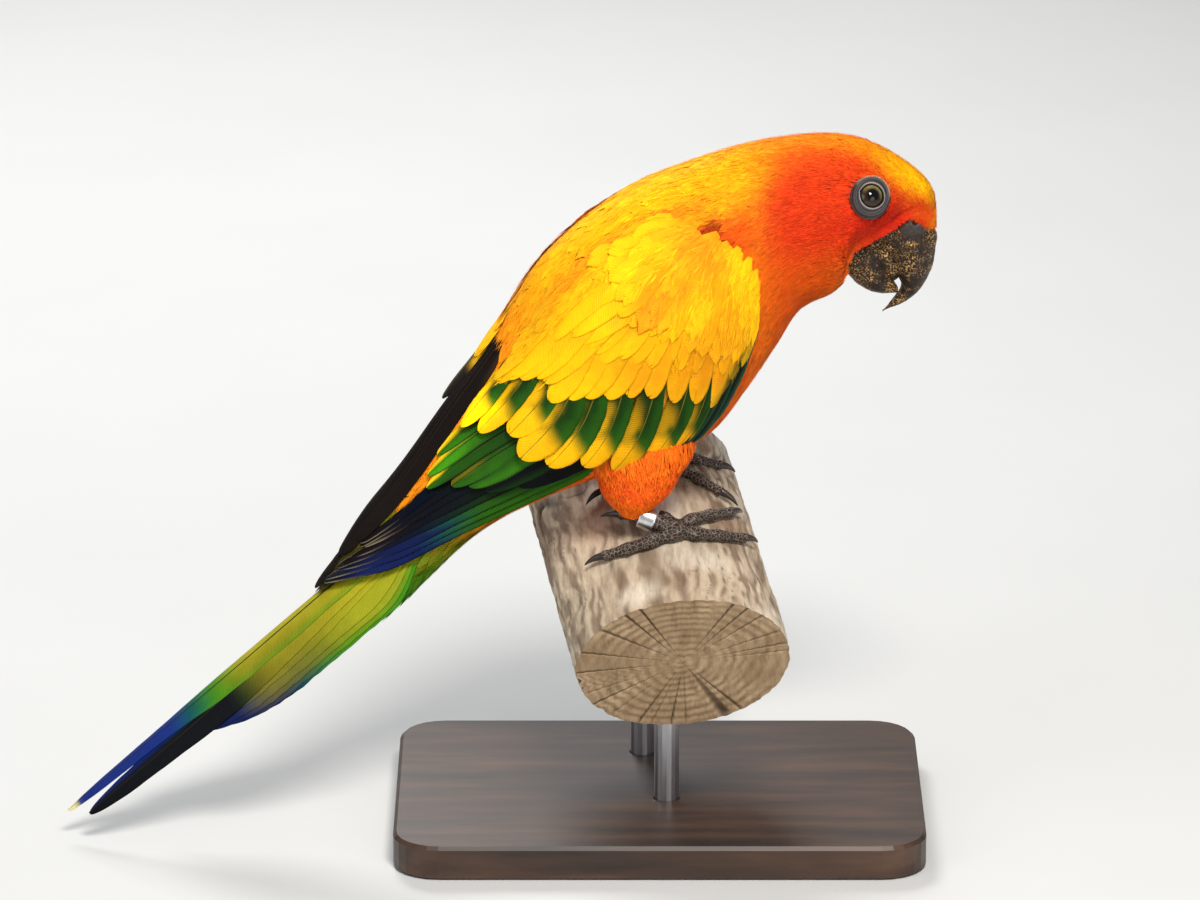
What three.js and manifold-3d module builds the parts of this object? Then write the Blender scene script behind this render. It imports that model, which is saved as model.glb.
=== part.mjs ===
// Sun conure, life size, leaning forward on a short length of driftwood limb on a display stand.
// Millimetres, +Z up, the bird faces +X, origin under the middle of the stand's base.
import * as THREE from 'three';
import { mergeVertices } from 'three/addons/utils/BufferGeometryUtils.js';
import Module from 'manifold-3d';

const wasm = await Module();
wasm.setup();

const rad = THREE.MathUtils.degToRad;
const { lerp, clamp, smoothstep } = THREE.MathUtils;

// Touching pieces keep this gap
const GAP = 0.3;

// How the bird stands: its own frame has x forward, y to its left and z up
const BODY_AT = [-11.2, -5, 141];
const BODY_YAW = rad(10);
const BODY_ROLL = rad(7);
const HEAD_TURN = rad(-8);
const HEAD_RAISE = 0.055;
const NECK_PIVOT = 30;
const NECK_BEND = [20, 50];

// Sections of the body from the bill to the tail coverts:
// x and z on the back, x and z on the belly, half width
const BODY = [
  [88.2, 31.8, 63.8, 20.2, 6.2],
  [85.0, 47.2, 57.8, 15.2, 12.8],
  [65.8, 60.6, 52.6, 12.4, 14.8],
  [44.0, 61.8, 49.2, 9.2, 16.2],
  [21.5, 56.4, 43.6, -0.6, 20.0],
  [-1.1, 46.8, 36.6, -12.0, 23.4],
  [-19.8, 27.8, 25.2, -25.8, 23.8],
  [-31.4, 3.0, 5.4, -33.0, 21.2],
  [-42.0, -20.6, -19.0, -41.6, 16.4],
  [-56.4, -42.8, -43.4, -53.8, 11.6],
  [-75.6, -61.6, -62.4, -75.4, 8.4],
];

// The folded wings lie along the body and then along this slimmer line over the tail
const WING_BED = [
  ...BODY.slice(0, 7),
  [-31.4, 3.0, 7.4, -36.4, 21.2],
  [-45.8, -17.6, -15.2, -45.8, 17.6],
  [-59.4, -38.2, -42.0, -57.0, 13.8],
  [-73.0, -55.0, -63.0, -70.5, 10.6],
  [-84.4, -67.6, -79.0, -76.5, 7.4],
];

// Stations where the body is parted, counted in sections from the bill
const NECK_STATION = 3.0;
const TORSO_STATION = 4.35;
const RUMP_STATION = 8.0;

// Eye: station and angle from the top of the head, ball and lid sizes
const EYE = { station: 1.7, around: rad(54.5), ball: 4.5, sunk: 2.9, ring: 4.5, lid: 1.25 };

// Bill, in sections as for the body: ridge or upper edge, cutting or lower edge, half width
const UPPER_BILL = [
  [82.6, 38.5, 69.5, 33.5, 5.2],
  [87.2, 32.4, 71.6, 29.7, 6.2],
  [87.7, 27.1, 73.9, 26.4, 6.0],
  [87.1, 21.9, 75.9, 22.0, 5.4],
  [85.8, 18.0, 78.0, 18.5, 4.4],
  [83.3, 13.8, 78.8, 16.0, 3.2],
  [79.4, 10.7, 77.4, 12.9, 2.0],
  [74.0, 8.6, 73.8, 8.0, 0.4],
];
const LOWER_BILL = [
  [64.5, 32.0, 59.0, 25.0, 5.0],
  [71.8, 29.0, 63.1, 20.9, 6.0],
  [74.2, 24.6, 66.4, 17.3, 5.8],
  [75.2, 19.8, 71.4, 14.6, 4.8],
  [77.9, 15.2, 77.3, 14.2, 2.4],
];
const CERE = { at: [80.6, 0, 34.2], size: [6.4, 6.6, 4.4] };
const NOSTRIL = { at: [84.4, 3.6, 32.6], radius: 0.85, reach: 4 };

// Edge of the face round the root of the bill, seen from the side: x and z
const FACE_EDGE = [[62.4, 20.0], [67.5, 25.4], [72.9, 30.2], [77.4, 33.6], [82.0, 35.3], [90.0, 35.0]];
const MUZZLE = { low: 8, half: 18 };

// Room of a folded wing on its bed: station, angle of its back edge and of its lower edge,
// and how far the flesh of the wing rises there
const WING_ROOM = [
  [3.72, 84, 102, -2.6],
  [4.05, 60, 118, -0.6],
  [4.6, 40, 122, 1.7],
  [5.2, 33, 128, 2.5],
  [5.9, 30, 135, 2.3],
  [6.5, 22, 138, 0.4],
  [7.1, 7, 130, -3.6],
  [7.8, 4, 122, -3.6],
  [8.4, 4, 117, -3.2],
  [9.0, 4, 104, -2.6],
  [9.6, 3, 84, -1.8],
  [10.3, 2, 60, -1.0],
  [11.1, 2, 36, -0.4],
];
const WING_FLESH = { end: 6, fill: 0.96, round: 0.25 };
const WING_RISE = 0.95;
const WING_SUNK = -5.6;
const ROOM = { over: 9, past: 5 };

// How far the left wing sits higher on the back, between which stations and angles
const LEFT_WING = { high: 4.2, from: [5.0, 7.0], to: [9.4, 11.2], fade: [26, 66] };

// Feathers of a wing in tiers from the inside out: lift at station 6 and its rise a station,
// half width, tilt of each vane over the next, and its root before the tip
const VANE = { root: 0.6, tip: 0.4, columns: 2, tailRows: 5, vary: 0.07 };
const TIERS = [
  {
    lift: -4.5, rise: WING_RISE, half: 2.7, tilt: 0.65, rows: 6,
    vanes: spread(
      6,
      [[6.4, 122], [8.2, 108], [9.6, 72], [10.95, 17]],
      [[6.6, 66], [7.8, 48], [8.9, 31], [9.8, 18]],
    ),
  },
  {
    lift: -2.6, rise: 0.98, half: 3.3, tilt: 0.5, rows: 4,
    vanes: rooted([[8.0, 90], [8.35, 72], [8.6, 54], [8.8, 37], [8.75, 24], [8.4, 17]], 1.9, 12),
  },
  {
    lift: -0.3, rise: 0.8, half: 3.4, tilt: 0.5, rows: 3,
    vanes: rooted([[6.6, 126], [6.86, 119], [7.08, 109], [7.28, 98], [7.5, 86], [7.55, 74], [7.55, 62],
      [7.7, 49], [7.9, 35], [8.0, 21]], 1.15, -2),
  },
  {
    lift: 1.7, rise: 0.7, half: 4.1, tilt: 0.5, rows: 3,
    vanes: rooted([[5.6, 118], [5.83, 107], [6.08, 96], [6.36, 84], [6.57, 71], [7.0, 58]], 1.05, -3),
  },
  {
    lift: 1.7, rise: 0.7, half: 3.0, tilt: 0.5, rows: 3,
    vanes: rooted([[6.4, 47], [6.8, 38], [7.15, 30], [7.35, 21], [7.43, 14]], 1.35, 5),
  },
];

// Tail: a roof of feathers that starts inside the rump and slopes down behind
const TAIL_ROOT = [-47.6, -38.6];
const TAIL_SLOPE = rad(41.2);
const TAIL_ARCH = 0.045;
const TAIL_START = 6;
const TAIL_FLESH = { end: 48, deep: [7.6, 3.6], half: [5.4, 8.6] };
const TAIL_SPREAD = [37, 54];
const RUMP_END = 9.6;
const TAIL_STEP = 0.6;
const TAIL_SLIM = { by: 0.38, from: 78, to: 116 };

// Tail feathers from the top of the pile down: length, distance of the tip from the middle,
// half width, where they have spread out, and the side or sides of the bird that have one
const TAIL_VANES = [
  [144.5, 1.5, 5.6, 110, [-1]],
  [139.5, 6.7, 4.6, 118, [-1]],
  [112, 6.2, 4.8, 80, [-1, 1]],
  [102, 7.8, 4.6, 56, [-1, 1]],
  [97, 8.8, 4.4, 52, [-1, 1]],
  [93, 9.6, 4.2, 50, [-1, 1]],
  [88, 10.2, 3.8, 48, [-1, 1]],
];

// Leg, shown by x, z, half depth and half width from the flank to the ankle
const THIGH = [
  [4.0, -14.0, 16.5, 7.6],
  [3.8, -26.0, 15.2, 8.4],
  [3.4, -33.0, 10.8, 7.0],
  [2.6, -38.6, 6.6, 4.8],
  [1.9, -43.4, 2.9, 2.9],
];
const THIGH_OUT = [12.5, 15];
const TARSUS_RADIUS = 2.2;
const BAND = { along: 4.2, inner: 2.6, outer: 3.4, height: 4.6 };

// Perch: an oval length of limb that rises towards its far end
const PERCH_AT = new THREE.Vector3(-1.2, 6.3, 73);
const PERCH_TILT = rad(17);
const PERCH_HALF = { across: 31, up: 22 };
const PERCH_ENDS = [-46, 46];

// Toes as points on the perch: across from its ridge and along its axis
const FEET = {
  right: {
    side: -1,
    lower: 0,
    heel: [1.5, -16.5],
    toes: [
      [[1.5, -16.5], [10, -16.8], [22, -11.5]],
      [[1.5, -15.5], [10, -8.4], [20.5, 0]],
      [[1, -17.5], [-9, -20.4], [-18.5, -19.4]],
      [[3, -15], [-2.5, -8], [-11.5, -3.8]],
    ],
  },
  left: {
    side: 1,
    lower: 3.7,
    heel: [1, 18],
    toes: [
      [[1, 18], [10, 21.4], [21.5, 24]],
      [[1, 17], [10, 13.6], [19, 8.5]],
      [[0, 19], [-9, 22.8], [-18, 24.6]],
      [[0, 17], [-8, 13.2], [-14.5, 9.6]],
    ],
  },
};
const TOE = { radius: 2.1, tip: 1.25 };
const CLAW = { radius: 1.15, reach: 6.4 };

// Stand: a flat base and two rods up into the perch
const BASE = { length: 150, width: 104, height: 10, corner: 12, chamfer: 1 };
const ROD = { radius: 3.5, apart: 20, inBase: 6, inPerch: 9 };

// Smooth curve through rows of numbers, run on in a straight line past both ends
function along(rows, at) {
  const last = rows.length - 1;
  const k = clamp(Math.floor(at), 0, last - 1);
  const f = at - k;
  const row = (i, j) => {
    if (i < 0) return 2 * rows[0][j] - rows[1][j];
    if (i > last) return 2 * rows[last][j] - rows[last - 1][j];
    return rows[i][j];
  };
  return rows[0].map((_, j) => {
    const [a, b, c, d] = [row(k - 1, j), row(k, j), row(k + 1, j), row(k + 2, j)];
    return b + 0.5 * f * (c - a + f * (2 * a - 5 * b + 4 * c - d + f * (3 * (b - c) + d - a)));
  });
}

// Middle line of vane k of a tier, its root a number of stations and degrees before its tip
function rooted(tips, stations, degrees) {
  return tips.map(([station, angle]) => [[station - stations, angle + degrees], [station, angle]]);
}

// Middle lines of a row of vanes, spread evenly from the first to the last
function spread(count, first, last) {
  return Array.from({ length: count }, (_, k) => first.map((point, i) => (
    point.map((value, j) => lerp(value, last[i][j], k / (count - 1)))
  )));
}

// Bird frame to the world, with the head turned a little to the bird's right and raised
function posed([x, y, z]) {
  const bend = smoothstep(x, NECK_BEND[0], NECK_BEND[1]);
  const turn = HEAD_TURN * bend;
  const ahead = NECK_PIVOT + (x - NECK_PIVOT) * Math.cos(turn) - y * Math.sin(turn);
  const left = (x - NECK_PIVOT) * Math.sin(turn) + y * Math.cos(turn);
  const height = z + HEAD_RAISE * bend * (x - NECK_PIVOT);
  const across = left * Math.cos(BODY_ROLL) - height * Math.sin(BODY_ROLL);
  const up = left * Math.sin(BODY_ROLL) + height * Math.cos(BODY_ROLL);
  return [
    ahead * Math.cos(BODY_YAW) - across * Math.sin(BODY_YAW) + BODY_AT[0],
    ahead * Math.sin(BODY_YAW) + across * Math.cos(BODY_YAW) + BODY_AT[1],
    up + BODY_AT[2],
  ];
}

// Point of a lofted surface in the bird frame: angle 0 is the back, positive to the left
function onLoft(rows, station, around, lift = 0, reach = 1) {
  const [backX, backZ, bellyX, bellyZ, half] = along(rows, station);
  const tall = Math.hypot(backX - bellyX, backZ - bellyZ) / 2;
  const rise = (reach * (tall + lift) * Math.cos(around)) / (2 * tall);
  return [
    (backX + bellyX) / 2 + (backX - bellyX) * rise,
    reach * (half + lift) * Math.sin(around),
    (backZ + bellyZ) / 2 + (backZ - bellyZ) * rise,
  ];
}

// Closed solid from points and triangles, faces turned outwards
function closed(points, faces) {
  const body = (order) => new wasm.Manifold(new wasm.Mesh({
    numProp: 3,
    vertProperties: Float32Array.from(points),
    triVerts: Uint32Array.from(order),
  }));
  const first = body(faces);
  return first.volume() > 0 ? first : body([...faces].reverse());
}

// A three.js geometry as a solid, each of its vertices moved by place
function solid(geometry, place = (x, y, z) => [x, y, z]) {
  geometry.deleteAttribute('normal');
  geometry.deleteAttribute('uv');
  const merged = mergeVertices(geometry, 1e-4);
  const at = merged.attributes.position;
  const points = [];
  for (let k = 0; k < at.count; k += 1) {
    points.push(...place(at.getX(k), at.getY(k), at.getZ(k)));
  }
  return closed(points, merged.index.array);
}

function join(pieces) {
  return wasm.Manifold.union(pieces);
}

function largest(body) {
  return body.decompose().reduce((best, piece) => (piece.volume() > best.volume() ? piece : best));
}

// Solid round a row of sections
function loft(rows, from, to, lift = 0, rounds = 28, steps = 24) {
  return solid(new THREE.CylinderGeometry(1, 1, 1, rounds, steps), (x, y, z) => (
    posed(onLoft(rows, lerp(from, to, 0.5 - y), Math.atan2(x, z), lift, Math.hypot(x, z)))
  ));
}

// Plate with the same grid of triangles on its outer and inner face, closed round the rim
function plate(columns, rows, outer, inner) {
  const grid = new THREE.PlaneGeometry(2, 1, columns, rows);
  const { position } = grid.attributes;
  const points = [];
  for (const face of [outer, inner]) {
    for (let k = 0; k < position.count; k += 1) {
      points.push(...face(position.getX(k), 0.5 - position.getY(k)));
    }
  }
  const faces = [...grid.index.array];
  for (let k = grid.index.count - 1; k >= 0; k -= 1) faces.push(grid.index.array[k] + position.count);
  const wide = columns + 1;
  const rim = [];
  for (let i = 0; i < columns; i += 1) rim.push(i);
  for (let j = 0; j < rows; j += 1) rim.push(j * wide + columns);
  for (let i = columns; i > 0; i -= 1) rim.push(rows * wide + i);
  for (let j = rows; j > 0; j -= 1) rim.push(j * wide);
  rim.forEach((a, k) => {
    const b = rim[(k + 1) % rim.length];
    faces.push(a, b, a + position.count, b, b + position.count, a + position.count);
  });
  return closed(points, faces);
}

// Plane across the body at a station, its normal towards the bill
function crossing(station) {
  const [back, belly, side, ahead] = [
    onLoft(BODY, station, 0),
    onLoft(BODY, station, Math.PI),
    onLoft(BODY, station, Math.PI / 2),
    onLoft(BODY, station - 0.2, Math.PI / 2),
  ].map((point) => new THREE.Vector3(...posed(point)));
  const normal = back.sub(side).cross(belly.sub(side)).normalize();
  if (normal.dot(ahead.sub(side)) < 0) normal.negate();
  return { normal, offset: normal.dot(side) };
}

// Part of the body between two stations, half a gap short of each
function stretch(body, front, rear) {
  let part = body;
  if (front !== null) {
    const { normal, offset } = crossing(front);
    part = part.trimByPlane(normal.clone().negate().toArray(), -offset + GAP / 2);
  }
  if (rear !== null) {
    const { normal, offset } = crossing(rear);
    part = part.trimByPlane(normal.toArray(), offset + GAP / 2);
  }
  return part;
}

function ball(at, size, turn = (point) => point) {
  const geometry = new THREE.SphereGeometry(1, 12, 7);
  return solid(geometry, (x, y, z) => {
    const [dx, dy, dz] = turn([x * size[0], y * size[1], z * size[2]]);
    return [at[0] + dx, at[1] + dy, at[2] + dz];
  });
}

// Eye centre and outward direction in the world, on one side of the head
function eyeSeat(side) {
  const at = (lift) => new THREE.Vector3(...posed(onLoft(BODY, EYE.station, side * EYE.around, lift)));
  const out = at(1).sub(at(0)).normalize();
  return { out, centre: at(0).addScaledVector(out, -EYE.sunk) };
}

function eyeball(side, extra = 0) {
  const radius = EYE.ball + extra;
  return ball(eyeSeat(side).centre.toArray(), [radius, radius, radius]);
}

// Ring of bare skin that the lids form round the eye
function lids(side) {
  const { out, centre } = eyeSeat(side);
  const turn = new THREE.Quaternion().setFromUnitVectors(new THREE.Vector3(0, 0, 1), out);
  const seat = centre.clone().addScaledVector(out, EYE.sunk);
  return solid(new THREE.TorusGeometry(EYE.ring, EYE.lid, 5, 16), (x, y, z) => (
    new THREE.Vector3(x, y, z).applyQuaternion(turn).add(seat).toArray()
  ));
}

function upperBill(extra = 0) {
  const horn = loft(UPPER_BILL, 0, UPPER_BILL.length - 1, extra, 12, 10);
  const size = CERE.size.map((half) => half + extra);
  const cere = solid(new THREE.SphereGeometry(1, 10, 6), (x, y, z) => (
    posed([CERE.at[0] + x * size[0], CERE.at[1] + y * size[1], CERE.at[2] + z * size[2]])
  ));
  return join([horn, cere]);
}

function nostril(side) {
  const [x, y, z] = NOSTRIL.at;
  return solid(new THREE.CylinderGeometry(NOSTRIL.radius, NOSTRIL.radius, NOSTRIL.reach, 6), (u, v, w) => (
    posed([x + u + 0.4 * v, side * (y + v), z + w + 0.3 * v])
  ));
}

function lowerBill(extra = 0) {
  return loft(LOWER_BILL, 0, LOWER_BILL.length - 1, extra, 12, 7);
}

// Room in front of and below the edge of the face, where the bill comes out
function muzzle() {
  const edge = new THREE.SplineCurve(FACE_EDGE.map(([x, z]) => new THREE.Vector2(x, z))).getPoints(12);
  const [first, last] = [edge[0], edge[edge.length - 1]];
  const below = [last, first].map(({ x }) => new THREE.Vector2(x, MUZZLE.low));
  const side = new THREE.Shape([...edge, ...below]);
  const slab = new THREE.ExtrudeGeometry(side, { depth: 2 * MUZZLE.half, bevelEnabled: false });
  return solid(slab, (x, z, y) => posed([x, y - MUZZLE.half, z]));
}

// Plate on the bed of one wing: spot(row, across) gives its station, its angle in degrees
// and the lifts of its inner and outer face
function wingPlate(side, columns, rows, span, spot) {
  const face = (outer) => (across, down) => {
    const { station, angle, lifts } = spot(lerp(span[0], span[1], down), across);
    return posed(onLoft(WING_BED, station, side * rad(angle), lifts[outer]));
  };
  return plate(columns, rows, face(1), face(0));
}

function sunkLift(station) {
  return WING_SUNK + WING_RISE * Math.max(0, station - 6);
}

function leftLift(side, station, angle) {
  const { high, from, to, fade } = LEFT_WING;
  const raised = smoothstep(station, ...from) * (1 - smoothstep(station, ...to));
  return side < 0 ? 0 : high * raised * (1 - smoothstep(angle, ...fade));
}

// Flesh of the folded wing, which holds the roots of its feathers
function wingFlesh(side) {
  const { end, fill, round } = WING_FLESH;
  return wingPlate(side, 6, 10, [0.08, end], (row, across) => {
    const [station, back, lower, rise] = along(WING_ROOM, row);
    const sunk = sunkLift(station) + 0.1;
    const top = sunk + (rise - sunk) * (1 - round * across ** 8);
    const angle = (back + lower) / 2 + (across * (lower - back) * fill) / 2;
    return { station, angle, lifts: [sunk, top + leftLift(side, station, angle)] };
  });
}

// Room that a wing takes with a gap all round, cut from the body and the tail below it
function wingRoom(side) {
  const last = WING_ROOM.length - 1;
  return wingPlate(side, 8, 26, [-0.12, last + 0.05], (row, across) => {
    const [station, back, lower] = along(WING_ROOM, row);
    const angle = (back + lower) / 2 + (across * (lower - back + ROOM.past)) / 2;
    return { station, angle, lifts: [sunkLift(station) - 2 * GAP, ROOM.over] };
  });
}

// How a vane narrows to a round tip over the last part of its length
function tipTaper(down, from) {
  return Math.sqrt(1 - 0.975 * Math.max(0, (down - from) / (1 - from)) ** 2);
}

// Repeatable random numbers from 0 to 1
function seeded(seed) {
  let state = seed;
  return () => {
    state = (state * 1103515245 + 12345) % 2147483648;
    return state / 2147483648;
  };
}

// One wing feather as a thin vane: its lower edge lies over the next, its upper edge under the last
function wingVane(side, line, { lift, rise, half, tilt, rows }, random) {
  const broad = half * lerp(1 - VANE.vary, 1 + VANE.vary, random());
  return wingPlate(side, VANE.columns, rows, [0, 1], (reach, across) => {
    const down = 1 - (1 - reach) ** 1.6;
    const [station, middle] = along(line, down * (line.length - 1));
    const [backX, backZ, bellyX, bellyZ, wide] = along(WING_BED, station);
    const tall = Math.hypot(backX - bellyX, backZ - bellyZ) / 2;
    const arc = Math.hypot(tall * Math.sin(rad(middle)), wide * Math.cos(rad(middle)));
    const width = Math.min(1, 0.65 + 1.4 * down) * tipTaper(down, 0.7);
    const angle = middle + THREE.MathUtils.radToDeg((across * broad * width) / arc);
    const level = lift + rise * (station - 6) + tilt * across * width + leftLift(side, station, angle);
    const thick = lerp(VANE.root, VANE.tip, down) / 2;
    return { station, angle, lifts: [level - thick, level + thick] };
  });
}

function wing(side) {
  const random = seeded(11 + side);
  const vanes = TIERS.flatMap((tier) => tier.vanes.map((line) => wingVane(side, line, tier, random)));
  return join([wingFlesh(side), ...vanes]);
}

// Point of the tail in the bird frame: along it, across to the left and above its ridge line
function onTail(reach, across, above) {
  const rise = above - TAIL_ARCH * across * across;
  return [
    TAIL_ROOT[0] - reach * Math.cos(TAIL_SLOPE) - rise * Math.sin(TAIL_SLOPE),
    across,
    TAIL_ROOT[1] - reach * Math.sin(TAIL_SLOPE) + rise * Math.cos(TAIL_SLOPE),
  ];
}

// Flesh and coverts that hold the roots of the tail feathers, or with extra, their room in the rump
function tailFlesh(extra = 0) {
  const face = (outer) => (across, down) => {
    const reach = lerp(TAIL_START - extra, TAIL_FLESH.end + extra, down);
    const closer = smoothstep(reach, 16, TAIL_FLESH.end);
    const half = lerp(...TAIL_FLESH.half, closer) + extra;
    const deep = lerp(...TAIL_FLESH.deep, closer) * (1 - 0.15 * across * across);
    return posed(onTail(reach, across * half, outer ? 0.6 + extra : 0.6 - deep - extra));
  };
  return plate(6, 6, face(true), face(false));
}

// One tail feather, its tip to one side and its place in the pile counted from the top
function tailVane(side, [length, tipAcross, half, spread], place) {
  const face = (outer) => (across, step) => {
    const down = 1 - (1 - step) ** 1.6;
    const reach = lerp(TAIL_START + 4, length, down);
    const middle = side * lerp(0.3 * tipAcross, tipAcross, smoothstep(reach, TAIL_SPREAD[0], spread));
    const slim = 1 - TAIL_SLIM.by * smoothstep(reach, TAIL_SLIM.from, TAIL_SLIM.to);
    const width = half * slim * lerp(0.5, 1, smoothstep(reach, ...TAIL_SPREAD)) * tipTaper(down, 0.8);
    const thick = lerp(VANE.root, VANE.tip, down) / 2;
    return posed(onTail(reach, middle + across * width, -place * TAIL_STEP + (outer ? thick : -thick)));
  };
  return plate(VANE.columns, VANE.tailRows, face(true), face(false));
}

function tail() {
  const vanes = TAIL_VANES.flatMap((row, place) => row[4].map((side) => tailVane(side, row, place)));
  return join([tailFlesh(), ...vanes]);
}

// Feathered thigh from inside the flank down to the ankle
function thigh({ side, lower }) {
  return solid(new THREE.CylinderGeometry(1, 1, 1, 14, 8), (x, y, z) => {
    const down = 0.5 - y;
    const [ahead, up, deep, wide] = along(THIGH, down * (THIGH.length - 1));
    const out = lerp(THIGH_OUT[0], THIGH_OUT[1], down);
    return posed([ahead + x * deep, side * (out + z * wide), up + lower * down]);
  });
}

// Perch frame: across and up its section, and along its axis
const perchAcross = new THREE.Vector3(Math.cos(BODY_YAW), Math.sin(BODY_YAW), 0);
const perchAxis = new THREE.Vector3(
  -Math.sin(BODY_YAW) * Math.cos(PERCH_TILT),
  Math.cos(BODY_YAW) * Math.cos(PERCH_TILT),
  Math.sin(PERCH_TILT),
);
const perchUp = new THREE.Vector3().crossVectors(perchAcross, perchAxis);

// Point above the perch's skin, and the way out of it there
function onPerch(across, length, lift) {
  const up = PERCH_HALF.up * Math.sqrt(Math.max(0, 1 - (across / PERCH_HALF.across) ** 2));
  const out = perchAcross.clone().multiplyScalar(across / PERCH_HALF.across ** 2)
    .addScaledVector(perchUp, up / PERCH_HALF.up ** 2).normalize();
  const at = PERCH_AT.clone().addScaledVector(perchAcross, across)
    .addScaledVector(perchUp, up).addScaledVector(perchAxis, length).addScaledVector(out, lift);
  return { at, out };
}

function perch(extra = 0) {
  return solid(new THREE.CylinderGeometry(1, 1, 1, 40, 1), (x, y, z) => {
    const length = lerp(PERCH_ENDS[0] - extra, PERCH_ENDS[1] + extra, y + 0.5);
    return PERCH_AT.clone().addScaledVector(perchAcross, x * (PERCH_HALF.across + extra))
      .addScaledVector(perchUp, z * (PERCH_HALF.up + extra))
      .addScaledVector(perchAxis, length).toArray();
  });
}

// Round bar along a curve: radius(t) across it, ends closed flat
function bar(curve, radius, rounds, steps) {
  const frames = curve.computeFrenetFrames(steps);
  return solid(new THREE.CylinderGeometry(1, 1, 1, rounds, steps), (x, y, z) => {
    const step = Math.round((y + 0.5) * steps);
    const size = radius(step / steps);
    return curve.getPointAt(step / steps).addScaledVector(frames.normals[step], x * size)
      .addScaledVector(frames.binormals[step], z * size).toArray();
  });
}

// Toe along the perch, thick at each knuckle
function toeCurve(points) {
  const spots = points.map(([across, length], k) => {
    const radius = lerp(TOE.radius, TOE.tip, k / 2);
    return onPerch(across, length, GAP + radius * 0.9).at;
  });
  return new THREE.CatmullRomCurve3(spots);
}

function toe(points) {
  const girth = (t) => lerp(TOE.radius, TOE.tip, t) * (1 + 0.12 * Math.cos(t * Math.PI * 6));
  return bar(toeCurve(points), girth, 6, 7);
}

// Claw that carries on from its toe and bends down to the wood
function claw(points) {
  const curve = toeCurve(points);
  const tip = curve.getPoint(1);
  const ahead = curve.getTangent(1);
  const [across, length] = points[2];
  const { out } = onPerch(across, length, 0);
  const start = tip.clone().addScaledVector(ahead, GAP);
  const middle = start.clone().addScaledVector(ahead, CLAW.reach * 0.5).addScaledVector(out, 0.5);
  const end = start.clone().addScaledVector(ahead, CLAW.reach * 0.95).addScaledVector(out, -1.2);
  const bend = new THREE.QuadraticBezierCurve3(start, middle, end);
  return bar(bend, (t) => lerp(CLAW.radius, 0.2, t ** 1.4), 6, 5);
}

function ankle({ side, lower }) {
  const [x, z] = THIGH[THIGH.length - 1];
  return new THREE.Vector3(...posed([x, side * THIGH_OUT[1], z + lower]));
}

function tarsusCurve(foot) {
  const top = ankle(foot);
  const heel = onPerch(foot.heel[0], foot.heel[1], GAP + TARSUS_RADIUS).at;
  return new THREE.LineCurve3(top.lerp(heel, 0.03), heel);
}

function foot(name) {
  const set = FEET[name];
  const shank = bar(tarsusCurve(set), () => TARSUS_RADIUS, 10, 3);
  const heel = onPerch(set.heel[0], set.heel[1], GAP + TARSUS_RADIUS).at;
  const sole = ball(heel.toArray(), [3.4, 3.4, 2.6]);
  return join([shank, sole, ...set.toes.map(toe)]);
}

// Closed leg band, loose round the right tarsus, or with extra all round, the room it needs
function legBand(extra = 0) {
  const curve = tarsusCurve(FEET.right);
  const way = curve.getTangent(0);
  const [inner, outer, half] = [BAND.inner - extra, BAND.outer + extra, BAND.height / 2 + extra];
  const profile = [[inner, -half], [outer, -half], [outer, half], [inner, half], [inner, -half]];
  const ring = new THREE.LatheGeometry(profile.map(([x, y]) => new THREE.Vector2(x, y)), 20);
  const turn = new THREE.Quaternion().setFromUnitVectors(new THREE.Vector3(0, 1, 0), way);
  const seat = curve.getPoint(0).addScaledVector(way, BAND.along);
  return solid(ring, (x, y, z) => new THREE.Vector3(x, y, z).applyQuaternion(turn).add(seat).toArray());
}

// Middle of a rod: a place along the perch's axis
function rodSpot(end) {
  return PERCH_AT.clone().addScaledVector(perchAxis, end * ROD.apart);
}

function rod(end, extra = 0) {
  const { x, y } = rodSpot(end);
  const low = BASE.height - ROD.inBase - extra;
  const high = rodSpot(end).z - PERCH_HALF.up + ROD.inPerch + extra;
  const radius = ROD.radius + extra;
  return solid(new THREE.CylinderGeometry(radius, radius, 1, 16), (u, v, w) => (
    [x + u, y + w, lerp(low, high, v + 0.5)]
  ));
}

function base() {
  const { length, width, height, corner, chamfer } = BASE;
  const [x, y] = [length / 2 - chamfer, width / 2 - chamfer];
  const outline = new THREE.Shape();
  outline.moveTo(-x + corner, -y);
  outline.lineTo(x - corner, -y);
  outline.absarc(x - corner, -y + corner, corner, -Math.PI / 2, 0);
  outline.lineTo(x, y - corner);
  outline.absarc(x - corner, y - corner, corner, 0, Math.PI / 2);
  outline.lineTo(-x + corner, y);
  outline.absarc(-x + corner, y - corner, corner, Math.PI / 2, Math.PI);
  outline.lineTo(-x, -y + corner);
  outline.absarc(-x + corner, -y + corner, corner, Math.PI, Math.PI * 1.5);
  const slab = new THREE.ExtrudeGeometry(outline, {
    depth: height - 2 * chamfer,
    bevelThickness: chamfer,
    bevelSize: chamfer,
    bevelSegments: 1,
    curveSegments: 3,
  });
  return solid(slab.translate(0, 0, chamfer));
}

const bird = new THREE.Group();

// One named mesh, its geometry centred on its own place
function addNode(name, body, colour, roughness, metalness = 0) {
  const mesh = largest(body).getMesh();
  const geometry = new THREE.BufferGeometry();
  geometry.setAttribute('position', new THREE.BufferAttribute(mesh.vertProperties, 3));
  geometry.setIndex(new THREE.BufferAttribute(mesh.triVerts, 1));
  geometry.computeBoundingBox();
  const middle = geometry.boundingBox.getCenter(new THREE.Vector3()).round();
  geometry.translate(-middle.x, -middle.y, -middle.z);
  const material = new THREE.MeshStandardMaterial({ color: colour, roughness, metalness });
  const node = new THREE.Mesh(geometry, material);
  node.name = name;
  node.position.copy(middle);
  bird.add(node);
}

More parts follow.
